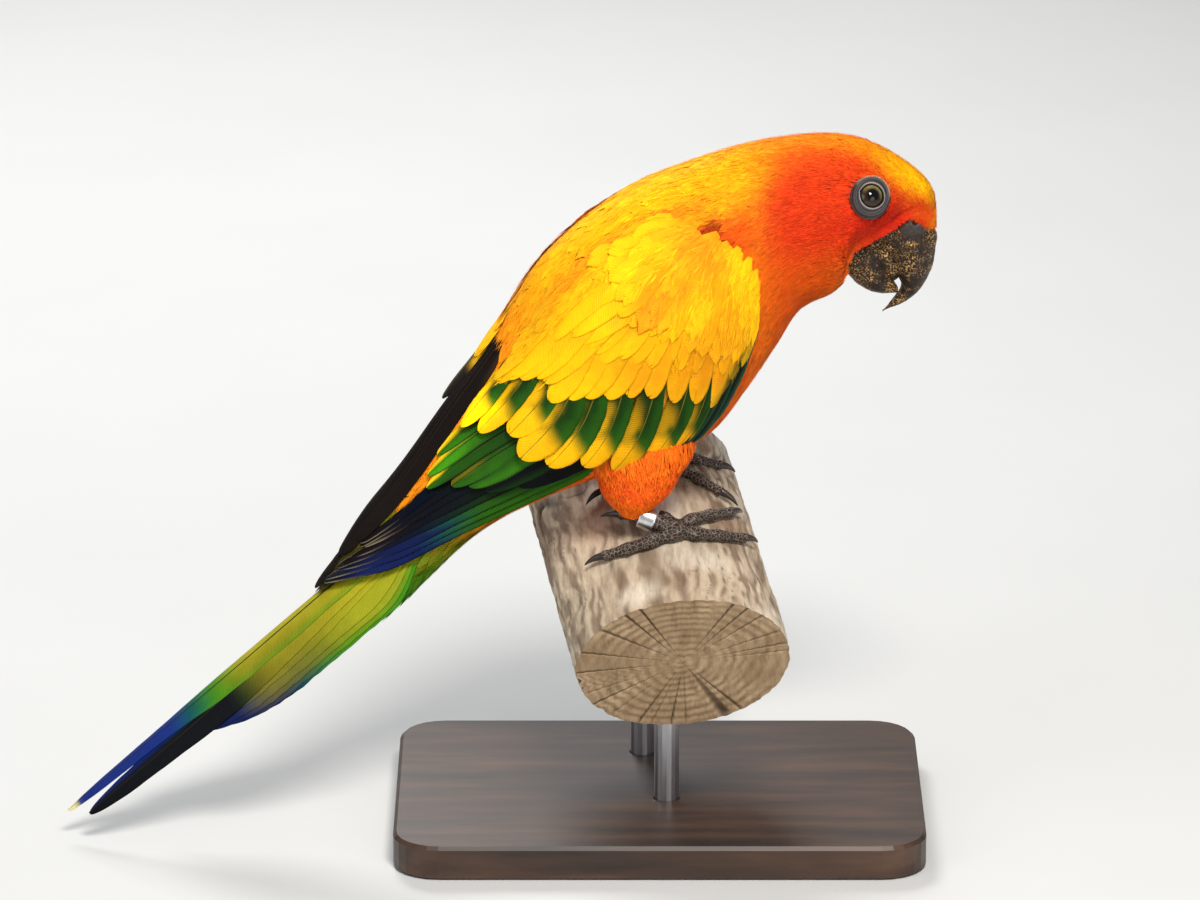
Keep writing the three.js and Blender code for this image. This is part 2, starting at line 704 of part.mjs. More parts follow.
function addHead(whole) {
  const beak = join([upperBill(GAP), lowerBill(GAP), muzzle()]);
  const skull = join([stretch(whole, null, NECK_STATION), lids(-1), lids(1)]);
  addNode('head', skull.subtract(beak).subtract(join([eyeball(-1, GAP), eyeball(1, GAP)])), 0xe8481c, 0.8);
  const upper = upperBill().subtract(join([nostril(-1), nostril(1)]));
  addNode('bill_upper', upper, 0x2a2420, 0.45);
  addNode('bill_lower', lowerBill().subtract(upperBill(GAP)), 0x2a2420, 0.45);
  addNode('eye_right', eyeball(-1), 0x1b1512, 0.08);
  addNode('eye_left', eyeball(1), 0x1b1512, 0.08);
}

function addBody(whole, rooms) {
  const neck = stretch(whole, NECK_STATION, TORSO_STATION);
  addNode('neck', neck.subtract(rooms), 0xf0761c, 0.8);
  const torso = stretch(whole, TORSO_STATION, RUMP_STATION);
  addNode('torso', torso.subtract(rooms), 0xf08a1e, 0.8);
  const rump = stretch(whole, RUMP_STATION, null);
  addNode('rump', rump.subtract(rooms).subtract(tailFlesh(GAP)), 0xf0a01e, 0.8);
}

function addFeathered(rooms) {
  addNode('wing_right', wing(-1), 0xf2b61e, 0.75);
  addNode('wing_left', wing(1), 0xf2b61e, 0.75);
  addNode('tail', tail().subtract(rooms), 0x8a9a2a, 0.7);
}

function addLegs(rooms) {
  const torsoRoom = loft(BODY, TORSO_STATION, RUMP_END, GAP, 24, 14);
  const bandRoom = legBand(GAP);
  const wood = perch(GAP);
  for (const [name, set] of Object.entries(FEET)) {
    const shank = bar(tarsusCurve(set), () => TARSUS_RADIUS + GAP, 10, 3);
    const flank = thigh(set).subtract(join([torsoRoom, rooms, shank, bandRoom]));
    addNode(`thigh_${name}`, flank, 0xee5a20, 0.85);
    addNode(`foot_${name}`, foot(name).subtract(wood), 0x6b5e58, 0.7);
    set.toes.forEach((points, k) => {
      addNode(`claw_${name}_${k + 1}`, claw(points).subtract(wood), 0x2c2623, 0.4);
    });
  }
  addNode('leg_band', legBand(), 0xb9bcc0, 0.35, 0.9);
}

function addStand() {
  const sockets = join([rod(-1, GAP), rod(1, GAP)]);
  addNode('perch', perch().subtract(sockets), 0xa98c6c, 0.9);
  addNode('stand_rod_1', rod(-1), 0x8d9094, 0.35, 0.9);
  addNode('stand_rod_2', rod(1), 0x8d9094, 0.35, 0.9);
  addNode('stand_base', base().subtract(sockets), 0x3c2d22, 0.5);
}

const whole = loft(BODY, 0, RUMP_END, 0, 24, 24);
const rooms = join([wingRoom(-1), wingRoom(1)]);
addHead(whole);
addBody(whole, rooms);
addFeathered(rooms);
addLegs(rooms);
addStand();

export default bird;
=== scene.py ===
# Sun conure, life size, leaning forward on a short length of driftwood limb on a display stand.
# Shapes are worked out in millimetres, as in the solids, and turned to metres in the meshes.
import math

import bpy
import numpy as np
from mathutils import Matrix, Vector
from mathutils.kdtree import KDTree


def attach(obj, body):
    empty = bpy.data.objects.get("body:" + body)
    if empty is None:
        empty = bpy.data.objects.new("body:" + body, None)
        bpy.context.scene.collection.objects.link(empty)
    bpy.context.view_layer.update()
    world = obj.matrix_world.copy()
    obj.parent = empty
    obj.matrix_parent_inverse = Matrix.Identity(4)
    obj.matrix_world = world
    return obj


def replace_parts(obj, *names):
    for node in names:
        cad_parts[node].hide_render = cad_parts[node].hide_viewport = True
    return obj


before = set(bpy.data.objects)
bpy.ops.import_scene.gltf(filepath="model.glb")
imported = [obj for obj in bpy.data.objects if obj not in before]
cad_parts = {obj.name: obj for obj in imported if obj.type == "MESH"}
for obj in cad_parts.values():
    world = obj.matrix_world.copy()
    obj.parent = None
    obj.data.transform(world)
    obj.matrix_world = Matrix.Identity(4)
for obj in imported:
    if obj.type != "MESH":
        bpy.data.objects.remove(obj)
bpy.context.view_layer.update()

MM = 0.001
SIDE_NAMES = {-1: "right", 1: "left"}

# How the bird stands: its own frame has x forward, y to its left and z up
BODY_AT = (-11.2, -5.0, 141.0)
BODY_YAW = math.radians(10)
BODY_ROLL = math.radians(7)
HEAD_TURN = math.radians(-8)
HEAD_RAISE = 0.055
NECK_PIVOT = 30
NECK_BEND = (20, 50)

# Sections of the body from the bill to the tail coverts:
# x and z on the back, x and z on the belly, half width
BODY = [
    [88.2, 31.8, 63.8, 20.2, 6.2],
    [85.0, 47.2, 57.8, 15.2, 12.8],
    [65.8, 60.6, 52.6, 12.4, 14.8],
    [44.0, 61.8, 49.2, 9.2, 16.2],
    [21.5, 56.4, 43.6, -0.6, 20.0],
    [-1.1, 46.8, 36.6, -12.0, 23.4],
    [-19.8, 27.8, 25.2, -25.8, 23.8],
    [-31.4, 3.0, 5.4, -33.0, 21.2],
    [-42.0, -20.6, -19.0, -41.6, 16.4],
    [-56.4, -42.8, -43.4, -53.8, 11.6],
    [-75.6, -61.6, -62.4, -75.4, 8.4],
]
WING_BED = BODY[:7] + [
    [-31.4, 3.0, 7.4, -36.4, 21.2],
    [-45.8, -17.6, -15.2, -45.8, 17.6],
    [-59.4, -38.2, -42.0, -57.0, 13.8],
    [-73.0, -55.0, -63.0, -70.5, 10.6],
    [-84.4, -67.6, -79.0, -76.5, 7.4],
]

# Room of a folded wing: station, angle of its back edge and of its lower edge, rise of its flesh
WING_ROOM = np.array([
    [3.72, 84, 102, -2.6],
    [4.05, 60, 118, -0.6],
    [4.6, 40, 122, 1.7],
    [5.2, 33, 128, 2.5],
    [5.9, 30, 135, 2.3],
    [6.5, 22, 138, 0.4],
    [7.1, 7, 130, -3.6],
    [7.8, 4, 122, -3.6],
    [8.4, 4, 117, -3.2],
    [9.0, 4, 104, -2.6],
    [9.6, 3, 84, -1.8],
    [10.3, 2, 60, -1.0],
    [11.1, 2, 36, -0.4],
])

# How far the left wing sits higher on the back: the stations where that starts and ends, and the angles
# where it sets in past the middle of the back and fades down the side
LEFT_WING = {"high": 4.2, "start": (5.0, 7.0), "end": (9.4, 11.2), "over": (-14, 12), "fade": (26, 66)}

# Height of the outer coverts over the bed of the wing, by station
WING_TOP = np.array([[3.7, -1.8], [4.05, -0.2], [4.6, 1.7], [5.2, 2.4], [5.9, 2.4], [6.5, 2.1], [7.1, 1.9],
                     [7.8, 1.8], [8.6, 1.4]])

# Bill, in sections as for the body
UPPER_BILL = [
    [80.0, 42.0, 66.8, 37.0, 4.6],
    [87.2, 32.4, 71.6, 29.7, 6.2],
    [87.7, 27.1, 73.9, 26.4, 6.0],
    [87.1, 21.9, 75.9, 22.0, 5.4],
    [85.8, 18.0, 78.0, 18.5, 4.4],
    [83.3, 13.8, 78.8, 16.0, 3.2],
    [79.4, 10.7, 77.4, 12.9, 2.0],
    [74.0, 8.6, 73.8, 8.0, 0.4],
]
LOWER_BILL = [
    [63.0, 34.6, 57.0, 27.2, 4.6],
    [71.8, 29.0, 63.1, 20.9, 6.0],
    [74.2, 24.6, 66.4, 17.3, 5.8],
    [75.2, 19.8, 71.4, 14.6, 4.8],
    [77.9, 15.2, 77.3, 14.2, 2.4],
]
CERE_AT = (80.4, 0.0, 35.4)
CERE_SIZE = (6.2, 6.6, 5.2)
NOSTRIL_AT = (81.6, 5.9, 37.4)

# Edge of the face round the root of the bill, seen from the side: x and z
FACE_EDGE = np.array([[62.0, 22.0], [62.6, 27.6], [64.4, 31.0], [67.6, 33.4], [71.0, 35.2], [75.4, 37.4],
                      [78.6, 39.8], [81.6, 40.2], [84.6, 38.0], [88.3, 35.2], [92.0, 34.4]])

# How the cheeks draw in to the root of the bill: where that starts and ends along x, its share of the
# width, and how fast it fades above the edge of the face
CHEEKS = {"start": (57, 66), "end": (80, 87), "share": 0.36, "fade": 5.5}

EYE_STATION = 1.7
EYE_AROUND = 54.5
EYE_BALL = 4.5
EYE_SUNK = 2.9

# Room round the middle of an eye that stays free of the roots of feathers, and of their tips
ROOT_ROOM = 5.55
TIP_ROOM = 5.8

# Tail: a roof of feathers that slopes down behind the rump. Each has its length, the place of its middle
# across, its half width, where it has spread out to its place, how far its tip slims, and its sides.
TAIL_ROOT = (-47.6, -38.6)
TAIL_SLOPE = math.radians(41.2)
TAIL_ARCH = 0.045
TAIL_START = 10
TAIL_STEP = 0.5
TAIL_SPREAD = (6, 34)
TAIL_SLIM = (78, 116)
TAIL_VANES = [
    [144.5, 1.5, 5.6, 110, 0.45, [-1]],
    [139.5, 6.8, 4.6, 118, 0.28, [-1]],
    [112, 6.2, 4.8, 80, 0.45, [-1, 1]],
    [102, 7.8, 4.6, 56, 0.45, [-1, 1]],
    [97, 8.8, 4.4, 52, 0.45, [-1, 1]],
    [93, 9.6, 4.2, 50, 0.45, [-1, 1]],
    [88, 10.2, 3.8, 48, 0.45, [-1, 1]],
]

# Leg, shown by x, z, half depth and half width from the flank to the ankle
THIGH = [
    [4.0, -14.0, 16.5, 7.6],
    [3.8, -26.0, 15.2, 8.4],
    [3.4, -33.0, 10.8, 7.0],
    [2.6, -38.6, 6.6, 4.8],
    [1.9, -43.4, 2.9, 2.9],
]
THIGH_OUT = (12.5, 15)
TARSUS_RADIUS = 2.2

# Perch: an oval length of limb that rises towards its far end
PERCH_AT = np.array([-1.2, 6.3, 73.0])
PERCH_TILT = math.radians(17)
PERCH_HALF = (31, 22)
PERCH_ENDS = (-46, 46)
END_RINGS = 62
PERCH_ROUNDS = 360

# Feet: side, drop of the ankle, heel, and toes as points across and along the perch
FEET = {
    "right": (-1, 0, [1.5, -16.5], [
        [[1.5, -16.5], [10, -16.8], [22, -11.5]],
        [[1.5, -15.5], [10, -8.4], [20.5, 0]],
        [[1, -17.5], [-9, -20.4], [-18.5, -19.4]],
        [[3, -15], [-2.5, -8], [-11.5, -3.8]],
    ]),
    "left": (1, 3.7, [1, 18], [
        [[1, 18], [10, 21.4], [21.5, 24]],
        [[1, 17], [10, 13.6], [19, 8.5]],
        [[0, 19], [-9, 22.8], [-18, 24.6]],
        [[0, 17], [-8, 13.2], [-14.5, 9.6]],
    ]),
}
GAP = 0.3
TOE_RADII = (2.1, 1.25)
CLAW_RADIUS = 1.15
CLAW_REACH = 6.4

# Leg band: how far down the shank it hangs, its radius, half its thickness and height, and how square it is
BAND_ALONG = 4.2
BAND_RADIUS = 3.0
BAND_HALF = (0.4, 2.3)
BAND_ROUND = 0.35

# Camera: millimetres to a pixel of the photo, the photo's middle and the frame's origin in pixels, how far
# the camera looks down and stands away, and how much the stand raises the bird
PIXEL = 0.28
PHOTO_MIDDLE = (600, 450)
ORIGIN_PIXEL = (660, 802)
CAMERA_DROP = math.radians(18)
CAMERA_AWAY = 2000
STAND_RISE = 6.3

# Lights point at a spot on the bird. The sky adds a soft bluish light from all sides.
LIT_POINT = (0, 0, 0.14)
SKY = (0.82, 0.86, 0.92, 1)
SKY_STRENGTH = 0.36

# Depth of the coat over the skin, the grain of the skin and how far the coat's colours on it are darkened as
# painted shade under the feathers, and the size of a small feather's patch on the unwrap of the skin
COAT = 1.3
SKIN_GRAIN = 0.9
SKIN_PAINTED_SHADE = 0.75
BAKE_PATCH = 0.0015

# Box in front of the edge of the face, where the bill takes the place of the skin: x, z and half width
MUZZLE_START = [[62.0, 18.0]]
MUZZLE_BOX = [[95.0, 36.0], [95.0, 5.0], [62.0, 5.0]]
MUZZLE_HALF = 20.0

# Cells of the long vanes on their unwrap: how many across, the edge left free, how wide a vane is in its
# cell, and for wing and tail how many rows of cells and how tall a vane is
CELLS_ACROSS = 12
CELL_EDGE = 0.004
CELL_WIDE = 0.075
WING_CELLS = (8, 0.117)
TAIL_CELLS = (1, 0.98)

# Rows of small feathers: how far they stray along and across a row, and how far apart the rows are, all as
# shares of the room between two feathers
ROW_STRAY = (0.22, 0.25)
ROW_PITCH = 0.62

# Points down a barb, and how far the colours of loose feathers differ in red, green and blue
BARB_ROWS = 5
HUE_SPREAD = np.array([0.03, 0.09, 0.10])


def tone(code):
    """Linear colour from a hex code."""
    value = np.array([int(code[k:k + 2], 16) for k in (0, 2, 4)]) / 255
    return np.where(value <= 0.04045, value / 12.92, ((value + 0.055) / 1.055) ** 2.4)


YELLOW = tone("fbbf08")
GOLD = tone("f8a60c")
# Amber, used as painted shade on the wing
AMBER_SHADE = tone("e8920c")
ORANGE = tone("f07c12")
DEEP_ORANGE = tone("e8560f")
RED = tone("d62612")
DEEP_RED = tone("b81c0c")
LEAF_GREEN = tone("3a7d10")
DARK_GREEN = tone("14360a")
OLIVE = tone("a29a1c")
TEAL = tone("0e5444")
BLUE = tone("142a72")
INK = tone("07090e")
SOOT = tone("140d0a")


# Maths on arrays

def along(rows, at):
    """Smooth curve through rows of numbers, run on in a straight line past both ends."""
    rows = np.asarray(rows, float)
    at = np.asarray(at, float)
    last = len(rows) - 1
    k = np.clip(np.floor(at), 0, last - 1).astype(int)
    f = (at - k)[..., None]
    ends = np.vstack([2 * rows[0] - rows[1], rows, 2 * rows[-1] - rows[-2]])
    a, b, c, d = ends[k], ends[k + 1], ends[k + 2], ends[k + 3]
    return b + 0.5 * f * (c - a + f * (2 * a - 5 * b + 4 * c - d + f * (3 * (b - c) + d - a)))


def ease(x, low, high):
    t = np.clip((x - low) / (high - low), 0, 1)
    return t * t * (3 - 2 * t)


def mix(a, b, share):
    return a + (b - a) * np.asarray(share)[..., None]


def unit(way):
    """A way, or each of several, at the length of 1."""
    return way / np.linalg.norm(way, axis=-1, keepdims=True)


def hashed(cell, seed):
    """A number from 0 to 1 for each whole-number cell of space."""
    value = (cell * np.array([374761393, 668265263, 2147483647 - 998244353])).sum(-1) + seed * 1442695041
    value = (value ^ (value >> 13)) * 1274126177
    return ((value ^ (value >> 16)) & 0xFFFFFF) / 0xFFFFFF


def noise(points, size, seed=0):
    """Smooth noise from -1 to 1 whose lumps are about size across."""
    p = np.asarray(points, float) / size
    cell = np.floor(p).astype(np.int64)
    f = p - cell
    f = f * f * (3 - 2 * f)
    total = 0
    for corner in np.ndindex(2, 2, 2):
        weight = np.prod(np.where(np.array(corner), f, 1 - f), axis=-1)
        total = total + weight * hashed(cell + np.array(corner), seed)
    return 2 * total - 1


def posed(p):
    """Bird frame to the world, with the head turned a little to the bird's right and raised."""
    x, y, z = p[..., 0], p[..., 1], p[..., 2]
    bend = ease(x, *NECK_BEND)
    turn = HEAD_TURN * bend
    ahead = NECK_PIVOT + (x - NECK_PIVOT) * np.cos(turn) - y * np.sin(turn)
    left = (x - NECK_PIVOT) * np.sin(turn) + y * np.cos(turn)
    height = z + HEAD_RAISE * bend * (x - NECK_PIVOT)
    across = left * math.cos(BODY_ROLL) - height * math.sin(BODY_ROLL)
    up = left * math.sin(BODY_ROLL) + height * math.cos(BODY_ROLL)
    return np.stack([
        ahead * math.cos(BODY_YAW) - across * math.sin(BODY_YAW) + BODY_AT[0],
        ahead * math.sin(BODY_YAW) + across * math.cos(BODY_YAW) + BODY_AT[1],
        up + BODY_AT[2],
    ], -1)


def left_lift(station, angle):
    """How far the back and the left wing rise from the mantle to the rump."""
    raised = ease(station, *LEFT_WING["start"]) * (1 - ease(station, *LEFT_WING["end"]))
    over = ease(angle, *LEFT_WING["over"])
    return LEFT_WING["high"] * raised * over * (1 - ease(angle, *LEFT_WING["fade"]))


def over_face_edge(x, z):
    """Height over the edge of the face round the bill, seen from the side."""
    return z - np.interp(x, *FACE_EDGE.T)


def narrowed(x, z):
    """How far the cheeks draw in towards the root of the bill, as a factor of the width."""
    beside = ease(x, *CHEEKS["start"]) * (1 - ease(x, *CHEEKS["end"]))
    height = np.maximum(over_face_edge(x, z), 0)
    return 1 - CHEEKS["share"] * beside * np.exp(-(height / CHEEKS["fade"]) ** 2)


def on_loft(rows, station, angle, lift=0.0):
    """Points on a lofted surface in the bird frame. Angle in degrees: 0 is the back, left is positive."""
    back_x, back_z, belly_x, belly_z, half = np.moveaxis(along(rows, station), -1, 0)
    if rows is WING_BED or rows is BODY:
        lift = lift + left_lift(station, angle)
    around = np.radians(angle)
    tall = np.hypot(back_x - belly_x, back_z - belly_z) / 2
    rise = (tall + lift) * np.cos(around) / (2 * tall)
    x = (back_x + belly_x) / 2 + (back_x - belly_x) * rise
    y = (half + lift) * np.sin(around)
    z = (back_z + belly_z) / 2 + (back_z - belly_z) * rise
    return np.stack([x, y * narrowed(x, z) if rows is BODY else y, z], -1)


def on_tail(reach, across, above):
    rise = above - TAIL_ARCH * across * across
    return np.stack([
        TAIL_ROOT[0] - reach * math.cos(TAIL_SLOPE) - rise * math.sin(TAIL_SLOPE),
        across + 0 * rise,
        TAIL_ROOT[1] - reach * math.sin(TAIL_SLOPE) + rise * math.cos(TAIL_SLOPE),
    ], -1)


PERCH_ACROSS = np.array([math.cos(BODY_YAW), math.sin(BODY_YAW), 0])
PERCH_AXIS = np.array([
    -math.sin(BODY_YAW) * math.cos(PERCH_TILT),
    math.cos(BODY_YAW) * math.cos(PERCH_TILT),
    math.sin(PERCH_TILT),
])
PERCH_UP = np.cross(PERCH_ACROSS, PERCH_AXIS)


def on_perch(across, length, lift):
    """A point above the perch's skin, and the way out of it there."""
    wide, high = PERCH_HALF
    up = high * math.sqrt(max(0, 1 - (across / wide) ** 2))
    out = unit(PERCH_ACROSS * across / wide ** 2 + PERCH_UP * up / high ** 2)
    return PERCH_AT + PERCH_ACROSS * across + PERCH_UP * up + PERCH_AXIS * length + out * lift, out


# Meshes from arrays

def grid_faces(rows, columns, wrap=False):
    """Quads of a grid of points. With wrap its last column joins the first."""
    j, i = np.meshgrid(np.arange(rows - 1), np.arange(columns if wrap else columns - 1), indexing="ij")
    here, below = j * columns, (j + 1) * columns
    right = (i + 1) % columns
    return np.stack([here + i, here + right, below + right, below + i], -1).reshape(-1, 4)


def grid(down, across):
    """Two arrays of one shape, for values down a grid and across it."""
    return np.broadcast_arrays(np.asarray(down)[:, None], np.asarray(across)[None, :])


def turns(count, start=0.0, end=2 * math.pi):
    """Even steps once round, without the last, which would be the first again."""
    return np.linspace(start, end, count, endpoint=False)


class Sheaf:
    """Points, quads, colours and UVs of many small pieces that become one mesh."""

    def __init__(self):
        self.parts = []
        self.count = 0
        self.cells = 0

    def add(self, points, colours, local, bake, wrap=False):
        """Pieces of the same grid: points (pieces, rows, columns, 3), and as much for the rest."""
        pieces, rows, columns = points.shape[:3]
        starts = self.count + np.arange(pieces)[:, None, None] * rows * columns
        self.parts.append((
            points.reshape(-1, 3),
            (starts + grid_faces(rows, columns, wrap)).reshape(-1, 4),
            np.broadcast_to(colours, points.shape).reshape(-1, 3),
            np.broadcast_to(local, points.shape[:3] + (2,)).reshape(-1, 2),
            np.broadcast_to(bake, points.shape[:3] + (2,)).reshape(-1, 2),
        ))
        self.count += pieces * rows * columns

    def add_barbs(self, edges, colours, slot, down, spot, half=0.1):
        """Thin strips in tufts, from the points of their two edges (tufts, strips, rows, 3)."""
        points = np.stack(edges, -2)
        strips = (-1,) + points.shape[2:4]
        across = slot[..., None] + half * np.array([-1, 1])
        local = np.stack(np.broadcast_arrays(across, down[..., None]), -1)
        local = np.broadcast_to(local, points.shape[:4] + (2,))
        bake = spot[:, None, None, None, :] + BAKE_PATCH * local
        colours = np.broadcast_to(colours[..., None, :], points.shape)
        self.add(points.reshape(strips + (3,)), colours.reshape(strips + (3,)),
                 local.reshape(strips + (2,)), bake.reshape(strips + (2,)))

    def add_blade(self, faces, colours, dim, vane, step, cells):
        """Closed blade from its two faces, in a cell of its own. Returns where its middle bakes."""
        columns = step.shape[1]
        upper, under = faces
        loop = np.concatenate([upper, under[:, ::-1]], axis=1)
        colours = np.concatenate([colours, colours[:, ::-1] * dim], axis=1)
        vane = np.concatenate([vane, vane[:, ::-1]], axis=1)
        rows, tall = cells
        cell = np.array([(self.cells % CELLS_ACROSS) / CELLS_ACROSS, (self.cells // CELLS_ACROSS) / rows])
        flat = np.stack(grid(step[:, 0], np.linspace(0, 1, columns * 2))[::-1], -1)
        bake = cell + CELL_EDGE + flat * np.array([CELL_WIDE, tall])
        self.add(loop[None], colours[None], vane[None], bake[None], wrap=True)
        self.cells += 1
        return bake[:, columns // 2]

    def piece(self, name, material):
        points, quads, colours, local, bake = (np.concatenate(part) for part in zip(*self.parts))
        return mesh_piece(name, points, quads, material, colours, {"Vane": local, "OFBake": bake})


def mesh_piece(name, points, quads, material, colours=None, maps=None):
    """One object from points in world millimetres and quads, with its colours and UV maps."""
    mesh = bpy.data.meshes.new(name)
    mesh.vertices.add(len(points))
    mesh.vertices.foreach_set("co", (points * MM).ravel())
    mesh.loops.add(quads.size)
    mesh.loops.foreach_set("vertex_index", quads.ravel())
    mesh.polygons.add(len(quads))
    mesh.polygons.foreach_set("loop_start", np.arange(0, quads.size, quads.shape[1]))
    mesh.polygons.foreach_set("use_smooth", np.ones(len(quads), bool))
    if colours is not None:
        paint(mesh, colours)
    for map_name, uv in (maps or {}).items():
        mesh.uv_layers.new(name=map_name).data.foreach_set("uv", uv[quads.ravel()].ravel())
    mesh.update(calc_edges=True)
    mesh.validate()
    mesh.materials.append(material)
    piece = added(name, mesh)
    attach(piece, "root")
    return piece


def added(name, data):
    """A new object in the scene."""
    thing = bpy.data.objects.new(name, data)
    bpy.context.scene.collection.objects.link(thing)
    return thing


def round_piece(name, sheets, material, colours=None):
    """One object from grids of points that are closed round, with the colours of each."""
    quads, start = [], 0
    for sheet in sheets:
        quads.append(grid_faces(*sheet.shape[:2], wrap=True) + start)
        start += sheet.size // 3
    points = np.concatenate([sheet.reshape(-1, 3) for sheet in sheets])
    if colours is not None:
        colours = np.concatenate([sheet.reshape(-1, 3) for sheet in colours])
    return mesh_piece(name, points, np.concatenate(quads), material, colours)


def paint(mesh, colours):
    layer = mesh.color_attributes.new("tone", "FLOAT_COLOR", "POINT")
    layer.data.foreach_set("color", np.column_stack([colours, np.ones(len(colours))]).ravel())


# Materials

def shader(name, roughness, **settings):
    """A new principled material and its tree, with plain values set on its own sockets."""
    material = bpy.data.materials.new(name)
    material.use_nodes = True
    node = material.node_tree.nodes["Principled BSDF"]
    node.inputs["Roughness"].default_value = roughness
    for socket, value in settings.items():
        node.inputs[socket.replace("_", " ")].default_value = value
    return material, material.node_tree


def finished(material, colour, height=None, strength=0.0, depth=0.0):
    """The material with its colour and the relief of its surface."""
    tree = material.node_tree
    node = tree.nodes["Principled BSDF"]
    tree.links.new(colour, node.inputs["Base Color"])
    if height is not None:
        bump = add_node(tree, "ShaderNodeBump", {"Height": height, "Strength": strength, "Distance": depth})
        tree.links.new(bump.outputs[0], node.inputs["Normal"])
    return material


def add_node(tree, kind, inputs=None, **settings):
    """A node with its settings and its input values or links."""
    node = tree.nodes.new(kind)
    for key, value in settings.items():
        setattr(node, key, value)
    for key, value in (inputs or {}).items():
        if isinstance(value, bpy.types.NodeSocket):
            tree.links.new(value, node.inputs[key])
        else:
            node.inputs[key].default_value = value
    return node


def maths(tree, operation, a, b=0.0):
    return add_node(tree, "ShaderNodeMath", {0: a, 1: b}, operation=operation).outputs[0]


def speckle(tree, scale, detail=4.0, stretch=(1, 1, 1), roughness=0.6):
    """Noise in object space, in lumps of 1/scale metres."""
    where = add_node(tree, "ShaderNodeTexCoord").outputs["Object"]
    spot = add_node(tree, "ShaderNodeMapping", {"Vector": where, "Scale": stretch}).outputs[0]
    return add_node(tree, "ShaderNodeTexNoise", {
        "Vector": spot, "Scale": scale, "Detail": detail, "Roughness": roughness,
    }).outputs["Fac"]


def ramp(tree, factor, *stops):
    """Colours by a factor. Each stop is a place and a hex code, a grey or a colour."""
    node = add_node(tree, "ShaderNodeValToRGB", {"Fac": factor})
    elements = node.color_ramp.elements
    for _ in range(len(stops) - 2):
        elements.new(0.5)
    for element, (place, colour) in zip(elements, stops):
        element.position = place
        element.color = (*(tone(colour) if isinstance(colour, str) else np.broadcast_to(colour, 3)), 1)
    return node.outputs["Color"]


def blended(tree, factor, a, b, kind="MIX"):
    node = add_node(tree, "ShaderNodeMix", data_type="RGBA", blend_type=kind)
    for socket, value in ((0, factor), (6, a), (7, b)):
        if isinstance(value, bpy.types.NodeSocket):
            tree.links.new(value, node.inputs[socket])
        else:
            node.inputs[socket].default_value = value if socket == 0 else (*value, 1)
    return node.outputs[2]


def painted(tree):
    return add_node(tree, "ShaderNodeVertexColor", layer_name="tone").outputs["Color"]


def varied(tree, colour, scale, spread):
    """The colour made lighter and darker in soft patches."""
    level = speckle(tree, scale, 3.0)
    return shaded(tree, colour, level, (0.3, 0.7), (1 - spread, 1 + spread))


def shaded(tree, colour, level, between, shades):
    """The colour times a shade that goes with a level between two values."""
    (low, high), (dark, pale) = between, shades
    shade = add_node(tree, "ShaderNodeMapRange", {
        "Value": level, "From Min": low, "From Max": high, "To Min": dark, "To Max": pale,
    }).outputs[0]
    return add_node(tree, "ShaderNodeHueSaturation", {"Color": colour, "Value": shade}).outputs[0]


def feather_material(name, barbs, depth, roughness, gloss):
    """Feather in its own painted colours, with barbs that slant off the shaft."""
    material, tree = shader(name, roughness, Specular_IOR_Level=gloss)
    uv = add_node(tree, "ShaderNodeUVMap", uv_map="Vane").outputs[0]
    split = add_node(tree, "ShaderNodeSeparateXYZ", {0: uv})
    slant = maths(tree, "ABSOLUTE", split.outputs[0])
    line = maths(tree, "SUBTRACT", split.outputs[1], maths(tree, "MULTIPLY", slant, 0.8))
    wobble = maths(tree, "MULTIPLY", speckle(tree, 900.0), 2.5)
    wave = maths(tree, "SINE", maths(tree, "ADD", maths(tree, "MULTIPLY", line, barbs), wobble))
    # Painted shade in the grooves between the barbs and painted light on their ridges, over soft patches of
    # tone.
    colour = shaded(tree, varied(tree, painted(tree), 260.0, 0.08), wave, (-1.0, 1.0), (0.86, 1.1))
    return finished(material, colour, wave, 0.5, depth)


def skin_material(name, roughness, patches, pores):
    """Skin in its painted colours, with soft patches and fine pores."""
    material, tree = shader(name, roughness)
    return finished(material, varied(tree, painted(tree), patches, 0.15), speckle(tree, pores), 0.4, 0.0002)


def grained_material(name, roughness, grain, stops, relief, strength, depth, **settings):
    """Material in the tones of one grain, with its relief from another."""
    material, tree = shader(name, roughness, **settings)
    colour = ramp(tree, speckle(tree, *grain), *stops)
    return finished(material, colour, speckle(tree, *relief), strength, depth)


# Markings of the bird

